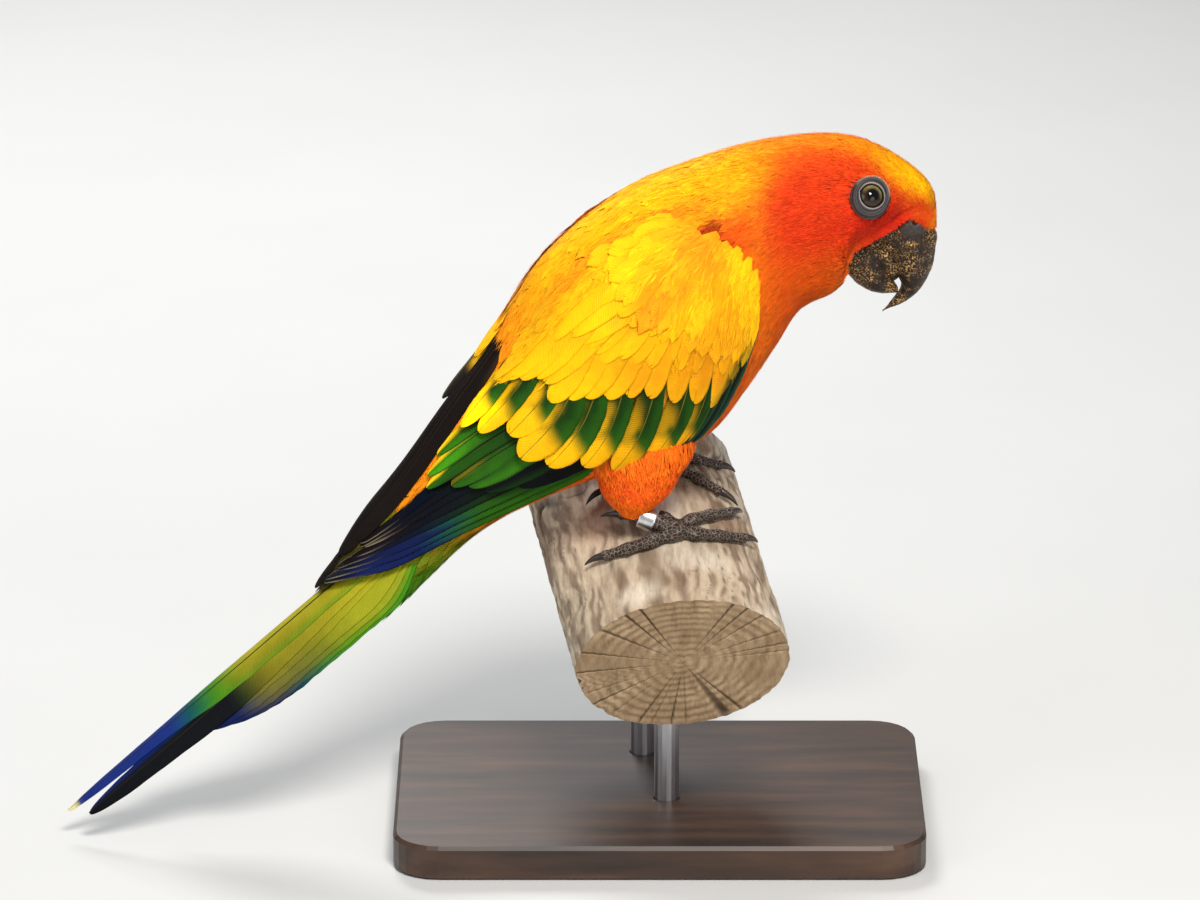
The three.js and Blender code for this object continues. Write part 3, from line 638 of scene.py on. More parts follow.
BODY_PATCHES = [
    [4.9, 0, 1.7, 80, YELLOW],
    [3.3, 0, 0.6, 48, mix(GOLD, YELLOW, 0.5)],
    [2.4, 0, 0.9, 30, mix(ORANGE, GOLD, 0.35)],
    [2.3, 122, 1.6, 48, mix(DEEP_ORANGE, ORANGE, 0.2)],
    [1.5, 68, 1.6, 36, RED],
    [2.4, 72, 0.8, 28, mix(RED, DEEP_ORANGE, 0.3)],
    [2.5, 26, 0.6, 12, mix(DEEP_ORANGE, ORANGE, 0.3)],
    [1.7, 36, 0.9, 13, mix(RED, DEEP_ORANGE, 0.5)],
    [1.5, 48, 0.5, 9, mix(RED, DEEP_ORANGE, 0.3)],
    [2.5, 54, 0.6, 22, mix(RED, DEEP_ORANGE, 0.35)],
    [0.7, 0, 1.0, 30, mix(GOLD, YELLOW, 0.6)],
    [1.0, 18, 0.6, 18, YELLOW],
    [0.5, 42, 0.4, 17, mix(RED, DEEP_ORANGE, 0.4)],
    [0.15, 0, 0.3, 60, mix(RED, ORANGE, 0.45)],
    [4.3, 150, 1.2, 60, mix(ORANGE, DEEP_ORANGE, 0.3)],
    [3.75, 66, 0.4, 14, DEEP_ORANGE],
    [4.05, 56, 0.22, 9, DEEP_RED * 0.85],
    [4.9, 37, 0.8, 8, DEEP_ORANGE],
    [5.9, 27, 0.7, 7, mix(ORANGE, DEEP_ORANGE, 0.6)],
    [6.3, 165, 1.6, 65, mix(ORANGE, DEEP_ORANGE, 0.75)],
    [8.0, 0, 1.2, 60, mix(GOLD, ORANGE, 0.35)],
    [9.7, 0, 0.7, 100, OLIVE],
    [9.3, 180, 0.9, 100, mix(OLIVE, LEAF_GREEN, 0.8)],
    [9.6, 180, 0.9, 100, LEAF_GREEN],
]
# The first two patches, in amber over the lower middle of the wing, are painted shade.
WING_PATCHES = [
    [5.2, 104, 0.9, 24, AMBER_SHADE],
    [6.0, 92, 0.4, 18, mix(AMBER_SHADE, GOLD, 0.5)],
    [4.35, 60, 0.35, 20, mix(GOLD, ORANGE, 0.4)],
    [5.2, 66, 0.6, 8, mix(ORANGE, GOLD, 0.6)],
    [5.3, 26, 0.9, 9, mix(ORANGE, GOLD, 0.5)],
    [5.8, 61, 0.12, 2.5, mix(OLIVE, YELLOW, 0.4)],
]


def patched(base, patches, station, around):
    """A colour with patches over it, each given by station, angle, reach along and round, and colour."""
    colour = np.broadcast_to(base, np.shape(station) + (3,))
    for at, angle, reach, wide, patch in patches:
        gap = ((station - at) / reach) ** 2 + ((around - angle) / wide) ** 2
        colour = mix(colour, patch, np.exp(-gap ** 1.5))
    return colour


def body_tone(station, angle):
    return patched(ORANGE, BODY_PATCHES, station, np.abs(angle))


def wing_tone(station, angle):
    _, lower = wing_edges(station)
    edge = ease(np.abs(angle) - lower, -9, -3) * ease(station, 4.1, 4.6)
    return mix(patched(YELLOW, WING_PATCHES, station, np.abs(angle)), DARK_GREEN, edge)


def wing_edges(station):
    """Angles of the back and the lower edge of a folded wing."""
    return (np.interp(station, WING_ROOM[:, 0], WING_ROOM[:, k]) for k in (1, 2))


def wing_height(station, angle):
    """Height of the outer face of a wing over its bed. It sinks to the mantle along its back edge."""
    back, lower = wing_edges(station)
    top = np.interp(station, *WING_TOP.T)
    flush = ease(angle - back, -8, 26) * (1 - 0.4 * ease(angle - lower, -16, 2))
    return -0.4 + (top + 0.4) * flush


# Small feathers

def metric(bed, station, angle):
    """Millimetres in a station and in a degree at places on a bed."""
    step = 0.05
    here = on_loft(bed, station, angle)
    ahead = on_loft(bed, station + step, angle)
    beside = on_loft(bed, station, angle + 1.0)
    return np.linalg.norm(ahead - here, axis=-1) / step, np.linalg.norm(beside - here, axis=-1)


def roots(bed, stations, angles, step, seed):
    """Places for feathers in staggered rows. step(station) is how far apart they are in millimetres."""
    rng = np.random.default_rng(seed)
    found = []
    station = stations[0]
    while station < stations[1]:
        sweep = np.linspace(*angles, 60)
        per_station, per_degree = metric(bed, np.full(60, station), sweep)
        lengths = np.append(0, np.cumsum((per_degree[1:] + per_degree[:-1]) / 2 * np.diff(sweep)))
        spacing = step(station)
        count = max(2, int(lengths[-1] / spacing))
        places = (np.arange(count) + rng.random()) / count * lengths[-1]
        places = places + rng.normal(0, ROW_STRAY[0] * spacing, count)
        angle = np.interp(places, lengths, sweep)
        shift = rng.normal(0, ROW_STRAY[1] * spacing, count) / np.interp(angle, sweep, per_station)
        found.append(np.column_stack([station + shift, angle]))
        station += ROW_PITCH * spacing / per_station.mean()
    return np.concatenate(found)


def bake_spot(bed, station, angle):
    """Place of a small feather on the unwrap of the skin."""
    return np.stack([0.02 + 0.96 * station / (len(bed) - 0.5), 0.5 + 0.48 * angle / 190], -1)


def each(values, count):
    """One value for each feather, in a shape that goes with their grids."""
    return np.reshape(np.broadcast_to(values, count), (count, 1, 1))


def tapered(down, start, close=0.985):
    """Share of the width that is left on the way down to a rounded tip."""
    return np.sqrt(1 - close * np.maximum(0, (down - start) / (1 - start)) ** 2)


def laid(bed, places, forward, sideways, turn, lift):
    """Points of small feathers in the world, from their way forward and sideways from their roots."""
    station, angle = (each(values, len(places)) for values in places.T)
    per_station, per_degree = metric(bed, station, angle)
    stations = station + (forward * np.cos(turn) - sideways * np.sin(turn)) / per_station
    angles = angle + (forward * np.sin(turn) + sideways * np.cos(turn)) / per_degree
    return posed(on_loft(bed, stations, angles, lift))


def leaves(sheaf, bed, places, length, half, lifts, tones, heading=0.0, seed=0, rows=6, columns=5,
           point=0.5, cup=0.25, shades=(0.7, 1.1)):
    """Small feathers that lie on a bed from their roots towards the tail."""
    rng = np.random.default_rng(seed)
    count = len(places)
    full = (count, rows, columns)
    down, across = grid(np.linspace(0, 1, rows), np.linspace(-1, 1, columns))
    width = np.minimum(1, 0.45 + 1.5 * down) * tapered(down, point)
    long = each(length * rng.uniform(0.85, 1.15, count), count)
    wide = each(half * rng.uniform(0.85, 1.15, count), count)
    turn = each(heading + rng.normal(0, math.radians(5), count), count)
    bend = each(rng.normal(0, 0.12, count), count)
    ragged = 1 + rng.normal(0, 0.07, full) * down
    forward = long * (down - 0.10 * across ** 2 * down) * (1 + rng.normal(0, 0.025, full) * down)
    sideways = wide * across * width * ragged + bend * long * down ** 2
    root, tip = (each(value, count) for value in lifts)
    lift = root + (tip - root) * down ** 0.8 + cup * (1 - across ** 2) * width
    lift = lift + each(rng.normal(0, 0.09, count), count) * down
    points = laid(bed, places, forward, sideways, turn, lift)
    # Painted shade darker at the root, under the feathers that overlap it, and painted light at the tip,
    # over a random tone for each feather.
    shade = (shades[0] + (shades[1] - shades[0]) * down ** 0.7) * each(rng.uniform(0.9, 1.08, count), count)
    local = np.stack([across, down], -1)
    vane = np.stack([across * wide, down * long], -1)
    bake = bake_spot(bed, *places.T)[:, None, None, :] + BAKE_PATCH * local
    sheaf.add(points, tones[:, None, None, :] * shade[..., None], vane, bake)


def fronds(sheaf, bed, places, length, lifts, tones, heading=0.0, seed=0, barbs=6, fan=14, width=0.17,
           shades=(0.75, 1.15)):
    """Loose small feathers, each a fan of fine barbs from its root."""
    rng = np.random.default_rng(seed)
    count = len(places)
    fans = (count, barbs, 1)
    down = np.linspace(0, 1, BARB_ROWS)[None, None, :]
    slot = np.linspace(-1, 1, barbs)[None, :, None]
    turn = np.radians(fan) * (slot + rng.normal(0, 0.25, fans))
    turn = turn + each(heading, count) + rng.normal(0, math.radians(6), (count, 1, 1))
    long = each(length, count) * (1 - 0.28 * slot ** 2) * rng.uniform(0.75, 1.2, fans)
    bend = rng.normal(0, 0.10, fans) * long * down ** 2
    root, tip = (each(value, count) for value in lifts)
    lift = root + (tip - root) * down ** 0.85 + rng.normal(0, 0.12, fans) * down
    thin = width * np.minimum(1, 0.6 + down * 1.5) * (1 - 0.9 * down ** 3)
    edges = [laid(bed, places, long * down, bend + edge * thin, turn, lift) for edge in (-1, 1)]
    # Painted shade darker at the root, under the barbs that overlap it, and painted light at the tip, over a
    # random tone for each tuft.
    shade = (shades[0] + (shades[1] - shades[0]) * down) * rng.uniform(0.85, 1.12, fans)
    hue = 1 + rng.normal(0, 1, (count, 1, 1, 1)) * HUE_SPREAD + rng.normal(0, 0.05, fans + (1,))
    colours = tones[:, None, None, :] * shade[..., None] * np.maximum(hue, 0.3)
    sheaf.add_barbs(edges, colours, slot, down, bake_spot(bed, *places.T))


# Eye and lids

def eye_seat(side):
    """Middle of the eye's opening, and the ways out of the head, towards the bill and up there."""
    angle = np.array(side * EYE_AROUND)
    seat, above, ahead = (posed(on_loft(BODY, np.array(EYE_STATION - step), angle, lift))
                          for step, lift in ((0, 0.0), (0, 1.0), (0.1, 0.0)))
    out = unit(above - seat)
    fore = unit(ahead - seat - out * np.dot(ahead - seat, out))
    return seat, out, fore, np.cross(out, fore) * side


def clear_of_eyes(places):
    """The places on the body whose feathers start outside the bare ring of the eyes."""
    at = posed(on_loft(BODY, *places.T))
    away = [np.linalg.norm(at - eye_seat(side)[0], axis=-1) for side in SIDE_NAMES]
    return places[np.min(away, 0) > ROOT_ROOM]


def short_of_eyes(places, length):
    """Lengths that keep the feathers in front of an eye off its bare ring."""
    at = posed(on_loft(BODY, *places.T))
    lengths = np.full(len(places), float(length))
    for side in SIDE_NAMES:
        seat, out, fore, up = eye_seat(side)
        ahead, beside, away = ((at - seat) @ way for way in (fore, up, out))
        room = ahead - np.sqrt(np.maximum(TIP_ROOM ** 2 - beside ** 2, 0))
        near = (ahead > 0) & (np.abs(beside) < TIP_ROOM) & (away > -8)
        lengths = np.where(near, np.minimum(lengths, np.maximum(room, 0.9)), lengths)
    return lengths


def above_face_edge(places):
    """How far each place on the body is above the edge of the face. Behind the edge nothing is cut."""
    x, _, z = on_loft(BODY, *places.T).T
    return np.where(x < FACE_EDGE[0, 0], 99.0, over_face_edge(x, z))


def clear_of_wings(places):
    """The places on the body that a folded wing doesn't cover."""
    station, around = places[:, 0], np.abs(places[:, 1])
    back, lower = wing_edges(station)
    reach = 12 * ease(station, 6.4, 7.0) - 10
    return places[~((around > back + 8) & (around < lower + reach) & (station > 4.15))]


def on_ball(polar, around, ways):
    """Ways out of a ball: polar from the first way, around from the second to the third."""
    out, fore, up = ways
    return (np.cos(polar)[..., None] * out + (np.sin(polar) * np.cos(around))[..., None] * fore
            + (np.sin(polar) * np.sin(around))[..., None] * up)


def eyeball(side, material):
    """Ball of an eye with the bulge of its clear front."""
    seat, *ways = eye_seat(side)
    polar, around = grid(np.linspace(0, math.pi, 60), turns(64))
    bulge = 1 + 0.045 * np.exp(-(polar / 0.5) ** 2)
    points = seat - ways[0] * EYE_SUNK + EYE_BALL * bulge[..., None] * on_ball(polar, around, ways)
    piece = round_piece(f"eye_{SIDE_NAMES[side]}_ball", [points], material, [iris_tone(polar, around)])
    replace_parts(piece, f"eye_{SIDE_NAMES[side]}")


def iris_tone(polar, around):
    """Black pupil, grey-brown iris with fine spokes, painted shade over its top and painted light over its
    lower part, and a dark rim.
    """
    spokes = 0.5 + 0.5 * noise(np.stack([np.cos(around) * 9, np.sin(around) * 9, polar * 4], -1), 1.0, 5)
    # Painted light: the iris is lit from below and shaded at its top.
    low = ease(-np.sin(around), -0.2, 0.8)
    iris = mix(tone("38281a"), tone("8a7a48"), low)
    colour = mix(tone("1c120b"), iris, ease(polar, 0.36, 0.62) * (0.5 + 0.5 * spokes))
    colour = mix(colour, tone("030202"), 1 - ease(polar, 0.33, 0.38))
    return mix(colour, tone("0c0807"), ease(polar, 0.68, 0.76))


def eye_material():
    material, tree = shader("eye_gloss", 0.06, Specular_IOR_Level=0.35)
    return finished(material, varied(tree, painted(tree), 2500.0, 0.12))


# Height of the bare ring over the head's surface, by distance from the middle of the eye
LID_PROFILE = [[3.25, -0.1], [3.35, 0.45], [3.65, 0.8], [4.0, 0.62], [4.4, 0.4], [4.9, 0.38],
               [5.3, 0.28], [5.7, -0.15], [6.1, -1.2]]


# Beads on the rim of the lids, with painted glints on them: how many, and the rim's radius
LID_BEADS = 46
LID_RIM = 3.72


def eyelids(side, material):
    """Bare ring with fine folds round the eye and two lids that meet in front and behind."""
    seat, out, fore, up = eye_seat(side)
    place, around = grid(np.linspace(0, len(LID_PROFILE) - 1, 40), turns(120))
    radius, height = np.moveaxis(along(LID_PROFILE, place), -1, 0)
    corner = np.exp(-(np.sin(around) / 0.16) ** 2)
    inner = 1 - ease(radius, 3.4, 4.6)
    below = ease(-np.sin(around), 0.1, 0.9)
    oval = 1 - 0.05 * np.cos(2 * around) * (1 - inner) + 0.05 * below * (1 - inner)
    wide = radius * oval - inner * 0.12 * np.abs(np.sin(around)) + 0.1 * corner * inner
    beads_and_glints = (0.5 + 0.5 * np.cos(around * LID_BEADS)) * np.exp(-((radius - LID_RIM) / 0.16) ** 2)
    folds = np.cos(radius * 9.5 + 1.0 * np.sin(around * 2 + 0.6)) * ease(radius, 4.0, 4.5)
    height = height - 0.35 * corner * inner + 0.12 * beads_and_glints + 0.09 * folds
    points = (seat + (wide * np.cos(around))[..., None] * fore + (wide * np.sin(around))[..., None] * up
              + height[..., None] * out)
    # The ring is darker towards the opening of the eye, with painted highlights on the ridges of its folds.
    colours = mix(tone("14100f"), tone("3c3435"), ease(radius, 3.9, 4.6) * (0.5 + 0.5 * folds))
    # Painted glints on the beads of the rim.
    colours = mix(colours, tone("d9cfc6"), beads_and_glints * 0.75)
    colours = mix(colours, tone("b39a80"), below * ease(radius, 4.7, 5.5) * 0.85)
    colours = colours * (1 + 0.18 * noise(points, 0.7, 9)[..., None])
    piece = round_piece(f"eye_ring_{SIDE_NAMES[side]}", [points], material, [colours])


# Bill

def horn_material():
    """Rough dark horn, nearly black, with flakes and many golden-brown grains."""
    material, tree = shader("bill_horn", 0.42, Specular_IOR_Level=0.3)
    flakes = speckle(tree, 700.0, 8.0, (1, 1, 0.6), 0.7)
    body = ramp(tree, flakes, (0.35, "0f0a07"), (0.55, "26180f"), (0.75, "4a3220"))
    grains = ramp(tree, speckle(tree, 2000.0, 2.0, (1, 1, 1), 0.5), (0.49, 0), (0.58, 1))
    patches = ramp(tree, speckle(tree, 190.0), (0.42, 0), (0.58, 1))
    mask = maths(tree, "MULTIPLY", grains, patches)
    gold = ramp(tree, speckle(tree, 3100.0, 1.0), (0.4, "8e6028"), (0.65, "dcb678"))
    relief = maths(tree, "ADD", flakes, mask)
    return finished(material, blended(tree, mask, body, gold), relief, 0.9, 0.0004)


def bill_half(name, rows, seed, material, keel):
    """One half of the bill, with a keel along its back and flakes over it."""
    last = len(rows) - 1
    station, angle = grid(np.linspace(0, last, 90), turns(72, -180, 180))
    lift = keel * np.exp(-(angle / 22) ** 2) * (1 - station / last)
    base = on_loft(rows, station, angle, lift)
    rough = 0.10 * noise(base, 2.4, seed) + 0.07 * noise(base, 0.9, seed + 1)
    plates = 0.06 * np.abs(noise(base * np.array([1, 1, 0.5]), 1.5, seed + 2))
    shrink = 1 - ease(station, last - 0.5, last)
    points = posed(on_loft(rows, station, angle, lift + (rough + plates) * shrink))
    piece = round_piece(name, [points], material)
    return piece


def tongue(material):
    """Thick dark tongue and floor of the mouth, between the halves of the bill."""
    rows = [[72.0, 33.0, 64.0, 26.0, 4.4], [76.4, 27.5, 71.0, 22.5, 4.2], [78.4, 23.0, 73.6, 18.8, 3.2],
            [78.8, 19.8, 76.2, 17.4, 1.6]]
    station, angle = grid(np.linspace(0, 3, 40), turns(36, -180, 180))
    rough = 0.12 * noise(on_loft(rows, station, angle), 1.2, 51)
    tube_piece("tongue", [posed(on_loft(rows, station, angle, rough))], material)


def cere(material):
    """Soft pad at the root of the upper bill, with the two nostrils."""
    way = on_ball(*grid(np.linspace(0, math.pi, 60), turns(72)), np.eye(3))
    points = np.array(CERE_AT) + way * np.array(CERE_SIZE)
    for side in SIDE_NAMES:
        gap = np.linalg.norm(points - np.array(NOSTRIL_AT) * np.array([1, side, 1]), axis=-1)
        rim = 0.25 * np.exp(-((gap - 1.25) / 0.35) ** 2) - 1.5 * np.exp(-(gap / 0.95) ** 4)
        points = points + way * rim[..., None]
    points = points + way * (0.08 * noise(points, 1.1, 3))[..., None]
    piece = round_piece("cere", [posed(points)], material)


def cere_material():
    return grained_material("cere_skin", 0.55, (900.0, 6.0), [(0.3, "1c1411"), (0.7, "43372f")],
                            (2600.0, 4.0), 0.5, 0.0002)


# Skin under the coat

def thigh_points(side, drop, down, around, lift):
    """Points round a thigh, from the flank to the ankle, lifted off its sections."""
    ahead, up, deep, wide = np.moveaxis(along(THIGH, down * (len(THIGH) - 1)), -1, 0)
    out = THIGH_OUT[0] + (THIGH_OUT[1] - THIGH_OUT[0]) * down
    spin = np.radians(around)
    return posed(np.stack([
        ahead + np.cos(spin) * (deep + lift),
        side * (out + np.sin(spin) * (wide + lift)),
        up + drop * down,
    ], -1))


def skin(material):
    """One smooth skin for head, body, thighs and the flesh of the tail."""
    station, angle = grid(np.linspace(0.02, 9.6, 120), turns(72, -180, 180))
    body = posed(on_loft(BODY, station, angle, -COAT))
    thighs = [thigh_points(side, drop, *grid(np.linspace(0, 1, 30), turns(36, 0, 360)), -0.9)
              for side, drop, _, _ in FEET.values()]
    piece = remeshed("skin", joined_shells([body, *thighs, tail_flesh()]), SKIN_GRAIN)
    cut_muzzle(piece)
    tree = KDTree(body.size // 3)
    for k, point in enumerate(body.reshape(-1, 3)):
        tree.insert(point * MM, k)
    tree.balance()
    nearest = [tree.find(vertex.co)[1] for vertex in piece.data.vertices]
    # The skin takes the coat's colours, darkened as painted shade where it shows between the feathers.
    paint(piece.data, body_tone(station, angle).reshape(-1, 3)[nearest] * SKIN_PAINTED_SHADE)
    piece.data.materials.append(material)
    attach(piece, "root")
    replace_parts(piece, "head", "neck", "torso", "rump", "thigh_right", "thigh_left")


def tail_flesh():
    """Flesh under the roots of the tail's feathers, wider and flatter towards its end."""
    reach, around = grid(np.linspace(2, 52, 30), turns(24))
    fade = ease(reach, 10, 50)
    across = (4.6 + 2.5 * fade) * np.sin(around)
    return posed(on_tail(reach, across, -2.6 - fade + (2.9 - 1.4 * fade) * np.cos(around)))


def cut_muzzle(piece):
    """Cuts the skin back to the edge of the face, where the bill comes out."""
    edge = np.vstack([MUZZLE_START, FACE_EDGE + [0, 0.5], MUZZLE_BOX])
    count = len(edge)
    vertices = [posed(np.array([x, y, z])) * MM for y in (-MUZZLE_HALF, MUZZLE_HALF) for x, z in edge]
    faces = [tuple(range(count))[::-1], tuple(range(count, 2 * count))]
    faces += [(k, (k + 1) % count, count + (k + 1) % count, count + k) for k in range(count)]
    mesh = bpy.data.meshes.new("muzzle")
    mesh.from_pydata([tuple(v) for v in vertices], [], faces)
    cutter = added("muzzle", mesh)
    cut = piece.modifiers.new("muzzle", "BOOLEAN")
    cut.object = cutter
    cut.solver = "EXACT"
    apply_modifiers(piece)
    bpy.data.objects.remove(cutter)


def apply_modifiers(piece):
    with bpy.context.temp_override(object=piece, active_object=piece, selected_objects=[piece]):
        for modifier in list(piece.modifiers):
            bpy.ops.object.modifier_apply(modifier=modifier.name)


def joined_shells(shells):
    """One mesh of closed shells, each a wrapped grid with a point in the middle of either end."""
    vertices, faces, start = [], [], 0
    for shell in shells:
        steps, rounds = shell.shape[:2]
        points = np.concatenate([shell.reshape(-1, 3), [shell[0].mean(0), shell[-1].mean(0)]])
        vertices += [tuple(point) for point in points * MM]
        faces += [tuple(quad + start) for quad in grid_faces(steps, rounds, wrap=True)]
        first = start + steps * rounds
        rim = first - rounds
        for i, j in zip(range(rounds), [*range(1, rounds), 0]):
            faces += [(start + j, start + i, first), (rim + i, rim + j, first + 1)]
        start = first + 2
    mesh = bpy.data.meshes.new("skin")
    mesh.from_pydata(vertices, [], faces)
    return mesh


def remeshed(name, mesh, voxel):
    """Object whose shells are melted into one closed surface and smoothed."""
    piece = added(name, mesh)
    melt = piece.modifiers.new("melt", "REMESH")
    melt.mode = "VOXEL"
    melt.voxel_size = voxel * MM
    melt.use_smooth_shade = True
    soften = piece.modifiers.new("soften", "SMOOTH")
    soften.iterations = 4
    apply_modifiers(piece)
    return piece


# Coat of the head and body

def step_size(station):
    """How far apart small feathers stand: finest on the face."""
    return np.interp(station, [0, 1.2, 2.4, 3.4, 4.5, 7, 9.8], [1.0, 1.1, 1.4, 1.9, 2.6, 3.0, 2.6])


def open_places(stations, step, seed):
    """Places for feathers on the body, away from the eyes, the bill and the folded wings."""
    places = clear_of_wings(clear_of_eyes(roots(BODY, stations, (-180, 180), step, seed)))
    return places[above_face_edge(places) > 0.2]


def swell(places):
    """Extra height of the coverts under the root of the tail."""
    return 1.6 * np.exp(-((places[:, 0] - 8.9) / 0.55) ** 2) * ease(np.abs(places[:, 1]), 90, 150)


# Rows of the rump's coverts: stations, how far apart they stand, lift and seed
CREST_ROWS = [((7.0, 9.6), 2.2, -2.6, 141), ((7.2, 9.3), 2.0, -1.5, 144), ((9.2, 10.5), 1.6, -1.4, 147)]


def crest():
    """Coverts of the rump that fill the room between the folded wings."""
    sheaf = Sheaf()
    for stations, step, lift, seed in CREST_ROWS:
        places = roots(WING_BED, stations, (-17, 17), lambda s: step, seed)
        tones = crest_tone(places[:, 0])
        leaves(sheaf, WING_BED, places, 11.0, 2.6, (lift - 0.4, lift + 0.3), tones, seed=seed + 1)
        fronds(sheaf, WING_BED, places, 9.0, (lift - 0.2, lift + 0.6), tones, seed=seed + 2, fan=7,
               width=0.12)
    piece = sheaf.piece("coat_crest", COAT_MATERIAL)


def crest_tone(station):
    colour = mix(YELLOW, mix(GOLD, ORANGE, 0.6), ease(station, 7.0, 7.9))
    colour = mix(colour, mix(OLIVE, SOOT, 0.6), ease(station, 8.7, 9.2))
    return mix(colour, mix(OLIVE, SOOT, 0.9), ease(station, 9.4, 9.8))


def coat_band(name, stations, under, over, seed):
    """Feathers of a length of the body. under holds the length and half width of the soft leaves below, over
    the length, lift and fan of the loose barbs above them."""
    sheaf = Sheaf()
    length, half = under
    places = open_places(stations, lambda s: step_size(s) * 1.12, seed)
    full = swell(places)
    leaves(sheaf, BODY, places, short_of_eyes(places, length), half, (full - 1.25, full - 0.25),
           body_tone(*places.T), seed=seed + 1, shades=(0.82, 1.08))
    length, tip, spread = over
    places = open_places(stations, step_size, seed + 2)
    full = swell(places)
    fronds(sheaf, BODY, places, short_of_eyes(places, length), (full - 0.9, full + tip),
           body_tone(*places.T), seed=seed + 3, fan=spread, barbs=7, width=0.13, shades=(0.9, 1.12))
    if stations[0] < 1:
        face_rim(sheaf, seed + 4)
    piece = sheaf.piece(name, COAT_MATERIAL)


# Barbs of the rim of the face: from and to above its edge, count, length, lifts and how their ways differ
RIM_BARBS = [(0.0, 1.2, 1900, 1.3, (-0.9, -0.8), 0.5), (-0.2, 2.4, 3000, 1.8, (-0.5, 0.05), 1.0)]


def face_rim(sheaf, seed):
    """Barbs that lean out over the root of the bill, and others that hide where they part from the coat."""
    rng = np.random.default_rng(seed)
    places = np.column_stack([rng.uniform(0.0, 2.2, 60000), rng.uniform(-150, 150, 60000)])
    height = above_face_edge(places)
    for low, high, count, length, lifts, jitter in RIM_BARBS:
        band = places[(height > low) & (height < high)][:count]
        brow = ease(-np.abs(band[:, 1]), -62, -30)
        fronds(sheaf, BODY, band, length + 0.9 * brow, lifts, body_tone(*band.T),
               heading=math.pi + rng.normal(0, jitter, len(band)), seed=seed + count, fan=22, barbs=5,
               width=0.085, shades=(0.9, 1.1))


# Feathers over the front of the face: how many, how long, how near the middle they come, and how far short
# of the end of the face's edge they stop
FRONT_COUNT = 9000
FRONT_LONG = 2.4
FRONT_INNER = 4.6
FRONT_SHORT = 2.0


def face_line():
    """Even steps along the edge of the face: half width, station and angle, x and z, and slope there."""
    grids = np.meshgrid(np.linspace(0, 2.6, 160), np.linspace(4, 176, 160))
    station, angle = (values.ravel() for values in grids)
    spots = on_loft(BODY, station, angle, -0.9)
    pace = np.append(0, np.cumsum(np.linalg.norm(np.diff(FACE_EDGE, axis=0), axis=1)))
    knots = np.linspace(0, pace[-1], 50)
    rim = np.column_stack([np.interp(knots, pace, FACE_EDGE[:, k]) for k in (0, 1)])
    near = [np.argmin(np.hypot(spots[:, 0] - x, spots[:, 2] - z)) for x, z in rim]
    slope = unit(np.gradient(rim, axis=0))
    return knots, pace[-2], (spots[near, 1], station[near], angle[near], *rim.T, *slope.T)


def face_front(seed):
    """Short feathers over the front of the face, from its rim in to the sides of the bill."""
    sheaf = Sheaf()
    rng = np.random.default_rng(seed)
    knots, end, line = face_line()
    count = FRONT_COUNT
    at = rng.uniform(0, end - FRONT_SHORT, count)
    side = rng.choice([-1, 1], count)
    wide, station, angle, x, z, along_x, along_z = (
        each(np.interp(at, knots, values), count) for values in line)
    down = np.linspace(0, 1, 4)[None, None, :]
    inner = np.minimum(FRONT_INNER, 0.9 * wide)
    reach = each(rng.uniform(-0.1, 1.0, count), count) + down * FRONT_LONG / np.maximum(wide - inner, 1.5)
    out = -0.3 + 1.1 * np.sqrt(np.clip(reach, 0, 1)) + 0.25 * down + each(rng.normal(0, 0.1, count), count)
    across = each(side, count) * (wide - (wide - inner) * np.minimum(reach, 1.1))
    drift = each(rng.normal(0, 0.5, count), count) * down
    thin = 0.2 * (1 - 0.8 * down ** 3)
    edges = []
    for way in (-1, 1):
        slip = drift + way * thin
        edges.append(posed(np.stack([x + out * along_z + slip * along_x, across,
                                     z - out * along_x + slip * along_z], -1)))
    # Painted shade darker at the root and painted light at the tip, over a random tone for each tuft.
    shade = (0.85 + 0.25 * down) * each(rng.uniform(0.88, 1.08, count), count)
    spot = bake_spot(BODY, station[:, 0, 0], side * angle[:, 0, 0])
    colours = body_tone(station, angle) * shade[..., None]
    sheaf.add_barbs(edges, colours, np.zeros((1, 1, 1)), down, spot, half=1.0)
    piece = sheaf.piece("coat_face", COAT_MATERIAL)


# Feathers of the wing

